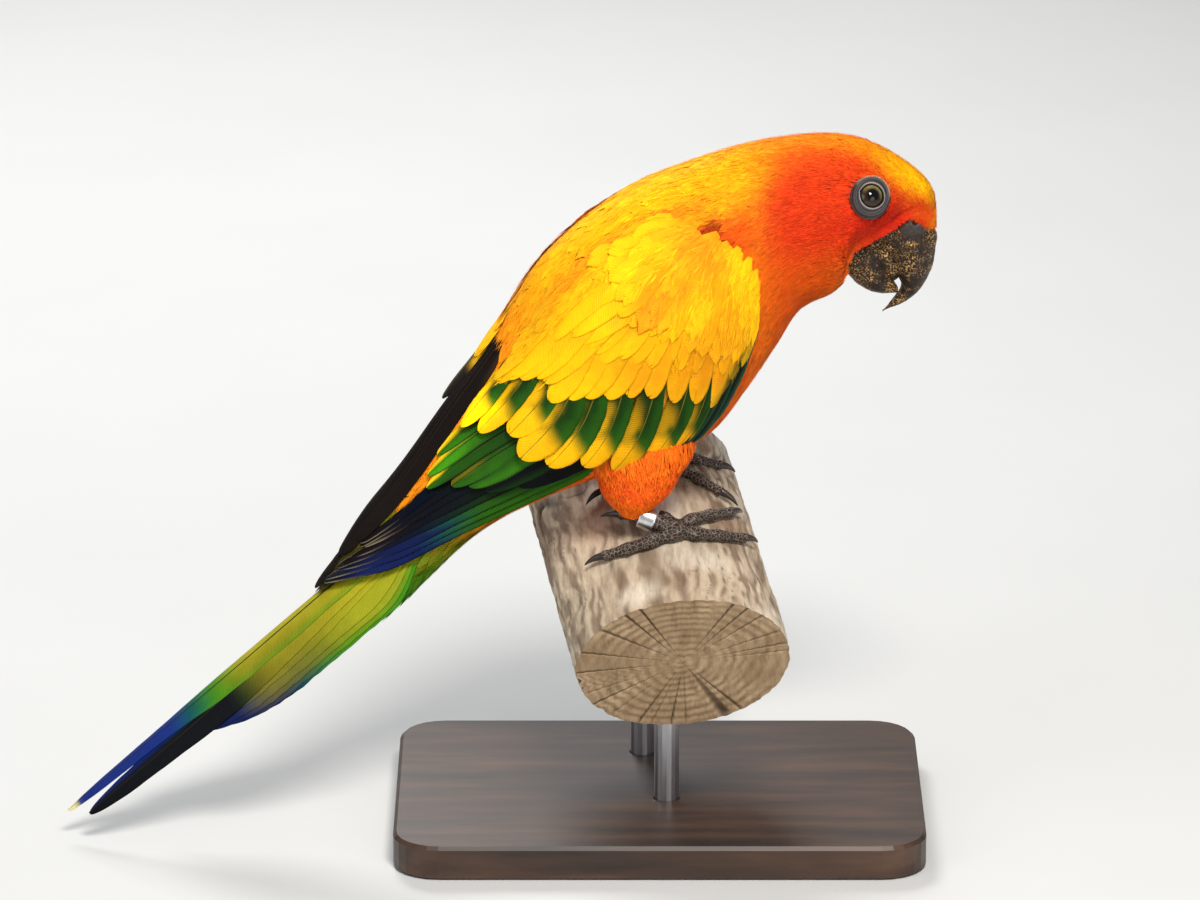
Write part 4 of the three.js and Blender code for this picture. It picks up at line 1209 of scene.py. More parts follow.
# Tiers of the wing. Each vane follows a line of stations and angles: given for the first and the last vane,
# or by its tip and how far back its root lies, for the front and the rear of the tier. Then the number of
# vanes, their height over the bed (lift and rise) or over the coverts (over), half width, tilt and taper.
TIERS = {
    "primary": dict(
        first=[[6.4, 122], [8.2, 108], [9.6, 72], [10.95, 9]],
        last=[[6.6, 66], [7.8, 44], [8.9, 22], [9.8, 5]],
        count=9, lift=-4.5, rise=0.95, half=3.0, tilt=0.65, taper=0.8),
    "secondary": dict(
        tips=[[8.0, 92], [8.3, 76], [8.5, 62], [8.66, 50], [8.8, 32], [8.75, 20], [8.45, 12]],
        back=((1.9, 16), (1.9, 34)), count=7, lift=-2.6, rise=0.98, half=4.4, tilt=0.5, taper=0.7),
    "greater": dict(
        tips=[[6.12, 134], [6.45, 133], [6.78, 128], [7.06, 115], [7.28, 101], [7.54, 87], [7.68, 71],
              [7.66, 55], [7.85, 38], [8.05, 19]],
        back=((1.2, -24), (1.1, -3)), count=10, over=-0.35, half=4.9, tilt=0.45, taper=0.62),
    "edge": dict(
        tips=[[5.5, 134], [5.95, 138], [6.35, 139], [6.65, 136]],
        back=((1.35, -13), (1.2, -16)), count=6, over=-0.1, half=1.8, tilt=0.3, taper=0.7),
    "median": dict(
        tips=[[5.38, 127], [5.62, 120], [5.82, 107], [6.07, 96], [6.33, 87], [6.56, 76], [6.8, 66],
              [7.05, 58]],
        back=((1.0, -27), (1.0, -3)), count=10, over=0.0, half=4.5, tilt=0.45, taper=0.55),
    "scapular": dict(
        tips=[[6.84, 50], [6.98, 42], [7.14, 32], [7.3, 23], [7.42, 15]],
        back=((1.3, 8), (1.5, 14)), count=6, over=0.25, half=4.4, tilt=0.4, taper=0.55),
    "tertiary": dict(
        tips=[[6.2, 54], [6.35, 46], [6.52, 37], [6.74, 28]],
        back=((1.3, 6), (1.6, 10)), count=5, over=0.4, half=4.0, tilt=0.4, taper=0.5),
    "upper": dict(
        tips=[[5.02, 121], [5.28, 109], [5.52, 98], [5.76, 88], [5.98, 77], [6.15, 66], [6.3, 57]],
        back=((0.85, -26), (0.9, -4)), count=12, over=0.3, half=3.7, tilt=0.4, taper=0.5),
    "lesser": dict(
        tips=[[4.72, 119], [4.95, 107], [5.18, 95], [5.4, 84], [5.6, 74], [5.75, 62], [5.85, 50]],
        back=((0.75, -22), (0.85, -4)), count=15, over=0.6, half=3.0, tilt=0.35, taper=0.5),
}

# Brown inner feathers of the left wing, which lie over the rump
CLOAK = dict(
    first=[[6.7, 15], [8.2, 11], [10.3, 6]],
    last=[[6.9, 4], [8.2, 0], [10.1, -2]],
    count=4, lift=-1.0, rise=0.35, half=4.0, tilt=0.3, taper=0.8)
VANE_COLUMNS = 15
GOLD_SHAFT = tone("6a5a14")
DARK_SHAFT = tone("1c150e")
TAIL_SHAFT = tone("241c10")
SHAFT_TURN = np.linspace(-1, 1, 5)[None, :]
SOFT_TIERS = ("median", "scapular", "tertiary", "upper", "lesser")


def tier_lines(tier):
    """Middle lines of the vanes of a tier."""
    share = np.linspace(0, 1, tier["count"])
    if "first" in tier:
        first, last = np.array(tier["first"]), np.array(tier["last"])
        return [first + (last - first) * k for k in share]
    tips = along(tier["tips"], share * (len(tier["tips"]) - 1))
    fore, rear = np.array(tier["back"])
    backs = fore + (rear - fore) * ease(share, 0.3, 0.9)[:, None]
    return [np.array([[s - b[0], a + b[1]], [s - 0.5 * b[0], a + 0.5 * b[1] + 1.2], [s, a]])
            for (s, a), b in zip(tips, backs)]


def primary_tone(share, across, down, web):
    outer = 1 - ease(share, 0.16, 0.44)
    green = mix(DARK_GREEN, LEAF_GREEN, 0.12 + 0.38 * ease(web, -0.3, 0.8))
    green = mix(green, TEAL, 0.8 * ease(down, 0.42, 0.58))
    green = mix(green, mix(BLUE, INK, 0.6), ease(down + 0.08 * web, 0.5, 0.68))
    shown = ease(across, -0.8, 0.1) * (0.04 + 0.96 * outer) * (1 - ease(down, 0.78, 0.95))
    colour = mix(mix(INK, SOOT, ease(down, 0.55, 0.95) * (1 - outer)), green, shown)
    colour = mix(colour, INK, ease(across, 0.8, 1.0) * 0.8)
    # Pale edges near the tips, partly wear and partly a painted sheen.
    return mix(colour, tone("a8967c"), ease(np.abs(across), 0.75, 1) * ease(down, 0.75, 0.97) * 0.4)


def secondary_tone(share, across, down, web):
    shown = ease(web, -0.9, 0.6) * ease(down, 0.15, 0.8)
    green = mix(DARK_GREEN, LEAF_GREEN, shown * (0.42 + 0.3 * math.sin(share * 25)))
    colour = mix(INK, green, ease(share + 0.2 * across, 0.2, 0.5))
    yellow = ease(-web, -0.1, 0.6) * ease(down, 0.45, 0.9) * ease(share, 0.4, 0.7)
    colour = mix(colour, mix(OLIVE, YELLOW, 0.5), yellow * 0.85)
    colour = mix(colour, SOOT, ease(share, 0.75, 1.0) * (1 - ease(down, 0.6, 0.9)) * 0.8)
    return mix(colour, INK, ease(across, 0.8, 1.0) * 0.7)


def cloak_tone(share, across, down, web):
    return mix(SOOT, tone("4a3020"), ease(np.abs(across), 0.5, 1) * 0.5)


def edge_tone(share, across, down, web):
    colour = mix(INK, mix(DARK_GREEN, TEAL, 0.4), ease(across, -0.6, 0.6))
    return mix(colour, OLIVE, ease(-across, 0.55, 0.95) * (0.3 + 0.5 * share))


def greater_tone(share, across, down, web):
    gold = mix(GOLD, YELLOW, 0.3 + 0.6 * share)
    tip = ease(down - 0.09 * np.abs(web), 0.56 - 0.1 * share, 0.76 - 0.1 * share)
    inner = ease(-web, -0.1, 0.5) * ease(down, 0.2, 0.5) * (0.3 + 0.7 * share)
    colour = mix(DARK_GREEN, LEAF_GREEN, ease(down, 0.35, 0.7) * 0.3 + 0.25 * ease(web, 0.2, 0.9))
    return mix(colour, gold, np.maximum(tip, inner))


VANE_TONES = {"primary": primary_tone, "secondary": secondary_tone, "cloak": cloak_tone, "edge": edge_tone,
              "greater": greater_tone}


def vane_tone(kind, share, across, down, station, angle):
    """Colours of one wing feather: share is its place in the tier, across is 1 on its lower edge."""
    if kind in VANE_TONES:
        web = across + 0.25 * noise(np.stack([down * 9, across * 1.2, 0 * down + share * 40], -1), 1.0, 21)
        return VANE_TONES[kind](share, across, down, web)
    rim = ease(np.abs(across), 0.5, 1.0) * 0.5 + ease(down, 0.6, 1.0) * 0.5
    colour = mix(wing_tone(station, angle), YELLOW, 0.55 * rim)
    # Amber painted shade towards the root, where the feathers above cover it.
    return mix(colour, AMBER_SHADE, 0.45 * (1 - ease(down, 0.2, 0.75)))


def frayed(down, across, k, size, seed):
    """Ragged outline of a vane, as noise along its barbs."""
    return noise(np.stack([down, across * 1.5, np.full_like(down, k)], -1), size, seed)


def wing_vanes(sheaf, side, kind, tier, seed):
    """One tier of long wing feathers, each a closed blade, the stiff ones with a shaft."""
    rng = np.random.default_rng(seed)
    step, across = grid(np.linspace(0, 1, 30), np.linspace(-1, 1, VANE_COLUMNS))
    down = 1 - (1 - step) ** 1.35
    soft = kind in SOFT_TIERS
    for k, line in enumerate(tier_lines(tier)):
        stretch = rng.normal(0, 0.03)
        station, middle = np.moveaxis(along(line, down * (len(line) - 1) * (1 + stretch)), -1, 0)
        middle = middle + rng.normal(0, 0.6)
        width = np.minimum(1, 0.65 + 1.4 * down) * tapered(down, tier["taper"])
        half = tier["half"] * rng.uniform(0.92, 1.1)
        _, per_degree = metric(WING_BED, station, middle)
        ragged = 1 + 0.04 * frayed(down * 26, across, k, 1.0, seed)
        angle = middle + across * ragged * half * width / per_degree
        if "over" in tier:
            level = wing_height(station, angle) + tier["over"] + tier["tilt"] * across * width
            level = level + rng.normal(0, 0.12) + 0.35 * down
        else:
            level = tier["lift"] + tier["rise"] * (station - 6) + tier["tilt"] * across * width
            level = level + rng.normal(0, 0.05)
        level = level + (0.25 if soft else 0.4) * (1 - across ** 2) * width
        station = notched(station, across, down, rng) - 0.012 * half * across ** 2 * (1 - down)
        faces = [posed(on_loft(WING_BED, station, side * angle, level + thick * (1 - 0.6 * down)))
                 for thick in (0.0, -0.22)]
        colours = vane_tone(kind, k / (tier["count"] - 1), across, down, station, angle)
        colours = mix(colours, SOOT, side * ease(station, 7.35, 7.6) * (1 - ease(angle, 30, 44)))
        # Painted shade darker towards the root, which lies under the feathers over it, over a random tone
        # for each vane.
        colours = colours * (rng.uniform(0.92, 1.06) * (0.88 + 0.16 * down))[..., None]
        vane = np.stack([across * half, down * 30], -1)
        bake = sheaf.add_blade(faces, colours, 0.8, vane, step, WING_CELLS)
        if not soft:
            line = [values[:, :1] for values in (station, middle, level[:, VANE_COLUMNS // 2:], down)]
            shaft(sheaf, side, line, GOLD_SHAFT if kind == "greater" else DARK_SHAFT, bake)


def notched(station, across, down, rng):
    """Stations of a vane with two small gaps between its barbs near the tip."""
    for _ in range(2):
        cut = np.exp(-((across - rng.uniform(-0.75, 0.75)) / 0.13) ** 2) * ease(down, 0.72, 1.0)
        station = station - cut * rng.uniform(0.0, 0.06)
    return station


def shaft(sheaf, side, line, colour, bake):
    """Raised shaft along the middle line of a vane: stations, angles, heights and share of the way down."""
    station, angle, level, down = line
    _, per_degree = metric(WING_BED, station, angle)
    half = 0.26 * (1 - 0.75 * down)
    high = level + 0.02 + (1 - SHAFT_TURN ** 2) * (half * 0.9) - 0.05
    wide = angle + SHAFT_TURN * (half / per_degree)
    points = posed(on_loft(WING_BED, station + 0 * SHAFT_TURN, side * wide, high))
    sheaf.add(points[None], colour, np.zeros(2), bake[None, :, None])


# Rows of small coverts at the front of a wing: stations and how far apart they stand
COVERT_ROWS = [(3.8, 4.2, 2.0), (4.2, 4.6, 2.6), (4.6, 5.3, 3.2)]


def wing_coverts(side, seed):
    """Small coverts over the front of a wing, and loose barbs over its back edge and its soft tiers."""
    sheaf = Sheaf()
    border = np.array(TIERS["lesser"]["tips"])[::-1]
    for low, high, step in COVERT_ROWS:
        places = roots(WING_BED, (low, high), (20, 140), lambda s: step, seed + int(low * 10))
        station, angle = places.T
        back, lower = wing_edges(station)
        inside = (angle > back + 2) & (angle < lower - 1)
        limit = np.interp(angle, border[:, 1], border[:, 0]) - 0.4
        cover(sheaf, side, places[inside & (station < limit)], step, seed + 5)
    silky_edge(sheaf, side, seed + 40)
    loose_tips(sheaf, side, seed + 9)
    piece = sheaf.piece(f"coat_coverts_{SIDE_NAMES[side]}", COAT_MATERIAL)


def loose_tips(sheaf, side, seed):
    """Loose barbs that break the edges at the tips of the soft tiers."""
    rng = np.random.default_rng(seed)
    tips = []
    for tier in (TIERS[kind] for kind in SOFT_TIERS[1:]):
        for *_, (station, angle) in tier_lines(tier):
            spread = rng.normal(0, 0.4, 12) * tier["half"] / metric(WING_BED, station, angle)[1]
            tips.append(np.column_stack([station - rng.uniform(0.13, 0.22, 12), angle + spread,
                                         np.full(12, tier["over"] + 0.3)]))
    station, angle, over = np.concatenate(tips).T
    top = wing_height(station, angle) + over
    fronds(sheaf, WING_BED, np.column_stack([station, side * angle]), 3.2, (top - 0.25, top),
           mix(wing_tone(station, angle), YELLOW, 0.4), heading=side * lean(angle), seed=seed - 2, fan=7,
           barbs=5, width=0.07, shades=(0.85, 1.05))


def silky_edge(sheaf, side, seed):
    """Long loose feathers over the roots of the feathers along the back edge of the wing."""
    places = roots(WING_BED, (4.5, 6.8), (8, 60), lambda s: 2.2, seed)
    back, _ = wing_edges(places[:, 0])
    places = places[np.abs(places[:, 1] - back - 4) < 8]
    top = wing_height(*places.T) + 0.9
    tones = mix(wing_tone(*places.T), GOLD, 0.35)
    signed = places * [1, side]
    leaves(sheaf, WING_BED, signed, 8.5, 2.0, (top - 0.6, top), tones, seed=seed + 1, rows=8,
           shades=(0.85, 1.08))
    fronds(sheaf, WING_BED, signed, 8.5, (top - 0.3, top + 0.5), tones, seed=seed + 2, fan=9, barbs=7,
           width=0.11, shades=(0.88, 1.12))


def lean(angle):
    """How far the coverts of the wing turn down off its length, in radians."""
    return 0.62 * ease(angle, 50, 80)


def cover(sheaf, side, places, step, seed):
    """Small coverts of the wing: soft leaves below, loose barbs above, both turned down off its length."""
    top = wing_height(*places.T) + 1.15
    tones = wing_tone(*places.T)
    signed = places * [1, side]
    heading = side * lean(places[:, 1])
    leaves(sheaf, WING_BED, signed, 3.0 * step, 0.95 * step, (top - 0.5, top + 0.35), tones,
           heading=heading, seed=seed, rows=8, columns=7, point=0.4, cup=0.3, shades=(0.8, 1.08))
    fronds(sheaf, WING_BED, signed, 2.6 * step, (top, top + 0.55), tones, heading=heading, seed=seed + 1,
           fan=11, shades=(0.85, 1.12))


def wing_core(side, material):
    """Flesh of the folded wing under its feathers."""
    row, across = grid(np.linspace(0.15, 6, 40), np.linspace(-1, 1, 24))
    station, back, lower, rise = np.moveaxis(along(WING_ROOM, row), -1, 0)
    angle = (back + lower) / 2 + across * (lower - back) * 0.94 / 2
    top = np.minimum(rise, wing_height(station, angle)) - 1.3
    sunk = -5.6 + 0.95 * np.maximum(0, station - 6) + 0.1
    outer, inner = (posed(on_loft(WING_BED, station, side * angle, level))
                    for level in (np.maximum(top, sunk + 0.2), sunk))
    # Painted shade: the wing's colours, darkened where the flesh shows between its feathers.
    colours = wing_tone(station, angle) * 0.8
    points, colours = (np.concatenate([upper, under[:, ::-1]], axis=1)
                       for upper, under in ((outer, inner), (colours, colours)))
    piece = round_piece(f"wing_core_{SIDE_NAMES[side]}", [points], material, [colours])
    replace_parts(piece, f"wing_{SIDE_NAMES[side]}")


def wing(side, seed):
    wing_core(side, SKIN_MATERIAL)
    wing_coverts(side, seed)
    sheaf = Sheaf()
    for k, (kind, tier) in enumerate(TIERS.items()):
        wing_vanes(sheaf, side, kind, tier, seed + 20 + k)
    if side > 0:
        wing_vanes(sheaf, side, "cloak", CLOAK, seed + 40)
    piece = sheaf.piece(f"wing_feathers_{SIDE_NAMES[side]}", VANE_MATERIAL)


# Tail

def tail_tone(place, side, across, down, total):
    """Colours of a tail feather: olive to green to blue, with painted shade along its outer edge, paler at
    its tip.
    """
    reach = down * total
    outer = side * across if place else -across
    # Painted shade along the outer edge from the middle of the tail on, deeper on the feathers that lie
    # lower.
    dark = ease(outer, -0.6, 0.9) * ease(reach, 30, 60) * (0.5 + 0.08 * place)
    olive_with_painted_shade = mix(OLIVE, mix(OLIVE, SOOT, 0.75), dark)
    colour = mix(olive_with_painted_shade, LEAF_GREEN, ease(reach, 70, 88))
    colour = mix(colour, TEAL, ease(reach, 84, 95))
    colour = mix(colour, BLUE, ease(reach, 92, 104))
    if place == 1:
        # Painted shade on the second feather: ink over one half of the vane towards its tip, teal to blue
        # over the other.
        edge = mix(INK, mix(TEAL, BLUE, ease(reach, 92, 112)), ease(across, 0.1, 0.9) * 0.8)
        return mix(colour, edge, ease(reach, 60, 84))
    if place == 0:
        colour = mix(colour, tone("e8dc90"), ease(down, 0.965, 0.985))
        return mix(colour, LEAF_GREEN, ease(outer, 0.6, 1) * (1 - ease(reach, 80, 100)) * 0.6)
    border = mix(mix(LEAF_GREEN, TEAL, ease(reach, 44, 66)), mix(BLUE, INK, 0.6), ease(reach, 54, 76))
    share = (0, 0, 0.1, 0.2, 0.35, 0.75, 1)[place]
    return mix(mix(olive_with_painted_shade, border, ease(reach, 70, 88)), border, ease(outer, -0.3, 0.3) * share)


def tail():
    sheaf = Sheaf()
    for place, (*shape, sides) in enumerate(TAIL_VANES):
        for side in sides:
            tail_vane(sheaf, place, side, *shape)
    piece = sheaf.piece("tail_feathers", VANE_MATERIAL)
    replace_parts(piece, "tail")


def tail_vane(sheaf, place, side, length, tip, half, spread, slimmed):
    """One closed blade of the tail with its shaft. Those with a higher place lie lower."""
    step, across = grid(np.linspace(0, 1, 70), np.linspace(-1, 1, VANE_COLUMNS))
    down = 1 - (1 - step) ** 1.2
    reach = TAIL_START + (length - TAIL_START) * down
    middle = side * (0.3 * tip + 0.7 * tip * ease(reach, TAIL_SPREAD[0], spread - 14))
    slim = (0.5 + 0.5 * ease(reach, *TAIL_SPREAD)) * (1 - slimmed * ease(reach, *TAIL_SLIM))
    width = half * slim * tapered(down, 0.72, 0.99)
    ragged = 1 + 0.03 * frayed(down * 60, across, place, 1.6, 7)
    above = -place * TAIL_STEP + 0.35 * (1 - across ** 2)
    faces = [posed(on_tail(reach, middle + across * width * ragged, above + thick * (1 - 0.5 * down)))
             for thick in (0.0, -0.25)]
    colours = tail_tone(place, side, across, down, length)
    vane = np.stack([across * half, down * length], -1)
    bake = sheaf.add_blade(faces, colours, 0.7, vane, step, TAIL_CELLS)
    reach, middle, down = (values[:, :1] for values in (reach, middle, down))
    rib = 0.3 * (1 - 0.75 * down)
    high = -place * TAIL_STEP + 0.33 + (1 - SHAFT_TURN ** 2) * rib * 0.9
    ridge = posed(on_tail(reach + 0 * SHAFT_TURN, middle + SHAFT_TURN * rib, high))
    sheaf.add(ridge[None], TAIL_SHAFT, np.zeros(2), bake[None, :, None])


# Thighs

# Tufts of a thigh and barbs in each, and the length of the thigh they lie along
THIGH_TUFTS = (1500, 6)
THIGH_LONG = 31


def thigh_coat(name, side, drop):
    """Loose feathers of a thigh, lying down towards the ankle."""
    sheaf = Sheaf()
    rng = np.random.default_rng(31 + side)
    count, barbs = THIGH_TUFTS
    fans = (count, barbs, 1)
    start = each(rng.uniform(0.0, 0.93, count), count)
    around = each(rng.uniform(0, 360, count), count)
    down = np.linspace(0, 1, BARB_ROWS)[None, None, :]
    slot = np.linspace(-1, 1, barbs)[None, :, None]
    long = each(rng.uniform(4.5, 7.5, count), count) * (1 - 0.25 * slot ** 2) * rng.uniform(0.8, 1.15, fans)
    place = np.minimum(start + long * down / THIGH_LONG, 1.02)
    full = 1.8 * np.exp(-((place - 0.72) / 0.22) ** 2)
    lift = full - 0.7 + 1.1 * down + rng.normal(0, 0.2, fans) * down
    girth = np.interp(place, [0, 0.5, 1], [12, 9, 3])
    edges = []
    for edge in (-1, 1):
        thin = edge * 0.17 * (1 - 0.85 * down ** 3)
        spread = slot * 0.9 * down * 1.2 + thin + rng.normal(0, 0.05, fans)
        edges.append(thigh_points(side, drop, place, around + np.degrees(spread / girth), lift))
    red = 0.7 * np.exp(-((start[:, 0, 0] - 0.45) / 0.25) ** 2) * rng.uniform(0.3, 1, count)
    base = mix(mix(DEEP_ORANGE, ORANGE, rng.uniform(0.2, 1.0, count)), RED, red)[:, None, None, :]
    # Painted shade darker at the root and painted light at the tip, over a random tone for each tuft.
    shade = (0.86 + 0.24 * down) * rng.uniform(0.9, 1.1, fans)
    spot = 0.02 + 0.96 * np.concatenate([start, around / 370], -1)[:, 0]
    sheaf.add_barbs(edges, base * shade[..., None], slot, down, spot)
    piece = sheaf.piece(f"coat_thigh_{name}", COAT_MATERIAL)


# Feet

def tube(path, radius, rounds, up, relief=None):
    """Rings of points along a path. relief(at, spin) adds to the radius."""
    ways = unit(np.gradient(path, axis=0))
    upward = unit(up - ways * (ways @ up)[:, None])
    sideways = np.cross(ways, upward)
    at, spin = grid(np.linspace(0, 1, len(path)), turns(rounds))
    size = radius[:, None] + (relief(at, spin) if relief else 0)
    return (path[:, None] + (size * np.cos(spin))[..., None] * upward[:, None]
            + (size * np.sin(spin))[..., None] * sideways[:, None])


def tube_piece(name, rings, material):
    """One object from several tubes, each closed by a point at either end."""
    closed = []
    for ring in rings:
        front, rear = (np.broadcast_to(end.mean(0), end.shape)[None] for end in (ring[0], ring[-1]))
        closed.append(np.concatenate([front, ring, rear]))
    piece = round_piece(name, closed, material)
    return piece


def toe_path(points, steps):
    """Middle line of a toe over the top of the perch, from its root to its end."""
    spots = [on_perch(across, length, GAP + radius * 0.9)[0]
             for (across, length), radius in zip(points, np.linspace(*TOE_RADII, 3))]
    return along(spots, np.linspace(0, 2, steps))


def scutes(length, pitch):
    """Relief of a toe: overlapping plates above, round pads below."""
    def relief(at, spin):
        place = at * length / pitch
        step = place - np.floor(place)
        above = ease(np.cos(spin), -0.1, 0.5)
        plates = 0.20 * (1 - step) ** 0.6 - 0.10
        grains = 0.09 * np.cos(spin * 9) * np.cos(at * length * 5.2)
        pads = 0.16 * np.abs(np.sin(math.pi * at * length / 3.1)) ** 0.7
        return plates * above + (grains + pads * ease(-np.cos(spin), 0.2, 0.8)) * (1 - above)
    return relief


def shank_ends(name):
    """The ankle and the middle of the sole of a foot."""
    side, drop, heel, _ = FEET[name]
    x, z = THIGH[-1][:2]
    return posed(np.array([x, side * THIGH_OUT[1], z + drop])), on_perch(*heel, GAP + TARSUS_RADIUS)[0]


def foot(name, material, claw_material):
    """Scaled shank, heel and four toes of one foot, and its claws."""
    top, base = shank_ends(name)
    toes = FEET[name][-1]
    shank = top + (base - top) * np.linspace(0, 1, 60)[:, None]
    plates = scutes(np.linalg.norm(base - top), 1.2)
    rings = [tube(shank, np.full(60, TARSUS_RADIUS), 28, PERCH_ACROSS, plates)]
    for points in toes:
        path = toe_path(points, 110)
        at = np.linspace(0, 1, 110)
        length = np.linalg.norm(np.diff(path, axis=0), axis=1).sum()
        radius = (TOE_RADII[0] + (TOE_RADII[1] - TOE_RADII[0]) * at) * (1 + 0.12 * np.cos(at * math.pi * 6))
        rings.append(tube(path, radius, 28, PERCH_UP, scutes(length, 1.1)))
    ball = 3.3 * np.sqrt(np.maximum(0.01, 1 - np.linspace(-1, 1, 24) ** 2))
    rings.append(tube(base + PERCH_UP * np.linspace(-2.4, 2.4, 24)[:, None], ball, 28, PERCH_ACROSS))
    piece = tube_piece(f"foot_{name}_scaled", rings, material)
    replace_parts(piece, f"foot_{name}")
    for k, points in enumerate(toes):
        claw(f"claw_{name}_{k + 1}", points, claw_material)


def claw(name, points, material):
    """Curved claw at the end of a toe, bent down over the perch."""
    path = toe_path(points, 60)
    ahead = unit(path[-1] - path[-2])
    out = on_perch(*points[2], 0)[1]
    start = path[-1] - ahead * 0.5
    bend = start + ahead * CLAW_REACH * 0.55 + out * 0.7
    end = start + ahead * (CLAW_REACH + 0.4) * 0.95 - out * 1.1
    at = np.linspace(0, 1, 40)[:, None]
    curve = start * (1 - at) ** 2 + 2 * bend * at * (1 - at) + end * at ** 2
    radius = CLAW_RADIUS + (0.15 - CLAW_RADIUS) * at[:, 0] ** 1.4
    ring = tube(curve, radius, 20, out, lambda _, spin: 0.05 * np.cos(2 * spin))
    piece = tube_piece(f"{name}_horn", [ring], material)
    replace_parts(piece, name)


def foot_material():
    """Dark skin in small plates with a net of pale lines between them."""
    material, tree = shader("foot_scales", 0.5, Specular_IOR_Level=0.35)
    where = add_node(tree, "ShaderNodeTexCoord").outputs["Object"]
    cells = add_node(tree, "ShaderNodeTexVoronoi", {"Vector": where, "Scale": 900.0},
                     feature="DISTANCE_TO_EDGE").outputs["Distance"]
    plate = ramp(tree, speckle(tree, 900.0, 5.0), (0.3, "16100e"), (0.6, "2c211d"), (0.85, "453830"))
    net = ramp(tree, cells, (0.02, 1), (0.09, 0))
    colour = blended(tree, net, plate, tone("7c6c5e"))
    return finished(material, colour, maths(tree, "MINIMUM", cells, 0.22), 1.0, 0.0006)


def claw_material():
    return grained_material("claw_horn", 0.32, (300.0, 4.0), [(0.35, "151110"), (0.75, "4a3d35")],
                            (1600.0, 3.0, (1, 1, 0.3)), 0.3, 0.0001)


def leg_band(material):
    """Closed leg band, loose round the right shank, with rounded rims."""
    top, base = shank_ends("right")
    way = unit(base - top)
    seat = top + (base - top) * 0.03 + way * BAND_ALONG
    fore = unit(np.cross(way, PERCH_AXIS))
    beside = np.cross(way, fore)
    spin, turn = grid(np.append(turns(96), 0), turns(32))
    wall, high = (half * np.sign(wave) * np.abs(wave) ** BAND_ROUND
                  for half, wave in zip(BAND_HALF, (np.cos(turn), np.sin(turn))))
    radial = BAND_RADIUS + wall
    points = (seat + (radial * np.cos(spin))[..., None] * fore + (radial * np.sin(spin))[..., None] * beside
              + high[..., None] * way)
    piece = round_piece("leg_band_ring", [points], material)
    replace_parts(piece, "leg_band")


def metal_material(name, grey, roughness):
    """Plain metal with fine scratches."""
    scratches = (900.0, 5.0, (1, 1, 0.08))
    return grained_material(name, roughness, scratches, [(0.3, grey * 0.8), (0.7, grey * 1.1)],
                            scratches, 0.15, 0.0001, Metallic=1.0)


# Perch and stand

def perch_grain(spin, length):
    """Points of the plain oval limb, lying straight, for the noise of its grain."""
    wide, high = PERCH_HALF
    return np.stack([wide * np.cos(spin), high * np.sin(spin), length], -1)


def cracks(at, sharp):
    """Cracks along the grain, up to 1, in patches."""
    lines = np.exp(-(noise(at * np.array([1, 1, 0.12]), 5.5, 43) / sharp) ** 2)
    return lines * ease(noise(at, 22, 46), -0.1, 0.4)


def end_split(spin, share):
    """Splits of a sawn end, up to 1, that close towards its middle."""
    spot = np.stack([np.cos(spin) * 6, np.sin(spin) * 6, 0 * spin], -1)
    return np.exp(-(noise(spot, 1.0, 48) / 0.05) ** 2) * share


def perch_radius(spin, length):
    """How far the wood stands off the plain oval: lumps, wavy grain, cracks and fine lines."""
    at = perch_grain(spin, length)
    lumps = -0.5 + 0.5 * noise(at, 16, 41)
    waves = noise(at * np.array([1, 1, 0.22]) + 0.8 * noise(at, 7, 44)[..., None], 1.7, 42)
    fine = 0.16 * noise(at * np.array([1, 1, 0.4]), 0.7, 45)
    return lumps + 0.32 * waves - 1.3 * cracks(at, 0.05) + fine


def perch(material):
    """Weathered limb with wavy grain and cracks, sawn at both ends."""
    length, spin = grid(np.linspace(*PERCH_ENDS, 210), turns(PERCH_ROUNDS))
    sheets = [perch_point(spin, length, 1.0, perch_radius(spin, length))]
    colours = [perch_tone(spin, length)]
    share, spin = grid(np.linspace(1, 0, 60), turns(PERCH_ROUNDS))
    for end, order in zip(PERCH_ENDS, (-1, 1)):
        edge = perch_radius(spin, np.full(spin.shape, float(end)))
        bend = noise(np.stack([np.cos(spin), np.sin(spin), share], -1), 0.5, 47)
        rings = 0.12 * np.sin(share * END_RINGS + 2.5 * bend)
        sink = (rings - 1.6 * end_split(spin, share)) * ease(1 - share, 0.0, 0.06)
        cap = perch_point(spin, end + order * np.minimum(sink, 0.2), share, edge * share)
        sheets.append(cap[:, ::order])
        colours.append(perch_end_tone(spin, share)[:, ::order])
    piece = round_piece("perch_limb", sheets, material, colours)
    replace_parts(piece, "perch")


def perch_tone(spin, length):
    """Pale weathered wood: wavy dark grain, cracks, brown stains and bleached patches."""
    at = perch_grain(spin, length)
    bent = at + 2.6 * np.stack([noise(at, 9, 51), noise(at, 9, 52), 0 * spin], -1)
    waves = noise(bent * np.array([1, 1, 0.14]) + 0.6 * noise(at, 4, 44)[..., None], 1.5, 53)
    colour = mix(tone("8d7a66"), tone("c9b79f"), ease(waves, -0.6, 0.4))
    colour = mix(colour, tone("e6dccb"), ease(noise(at, 13, 54), -0.1, 0.6) * 0.8)
    colour = mix(colour, tone("7c5638"), ease(noise(at, 19, 55), 0.15, 0.7) * 0.65)
    dark = np.exp(-(noise(bent * np.array([1, 1, 0.1]), 3.4, 56) / 0.035) ** 2)
    dark = dark * ease(noise(at, 15, 57), -0.25, 0.35)
    return mix(colour, tone("2a1c12"), np.maximum(0.75 * dark, 0.9 * cracks(at, 0.06)))


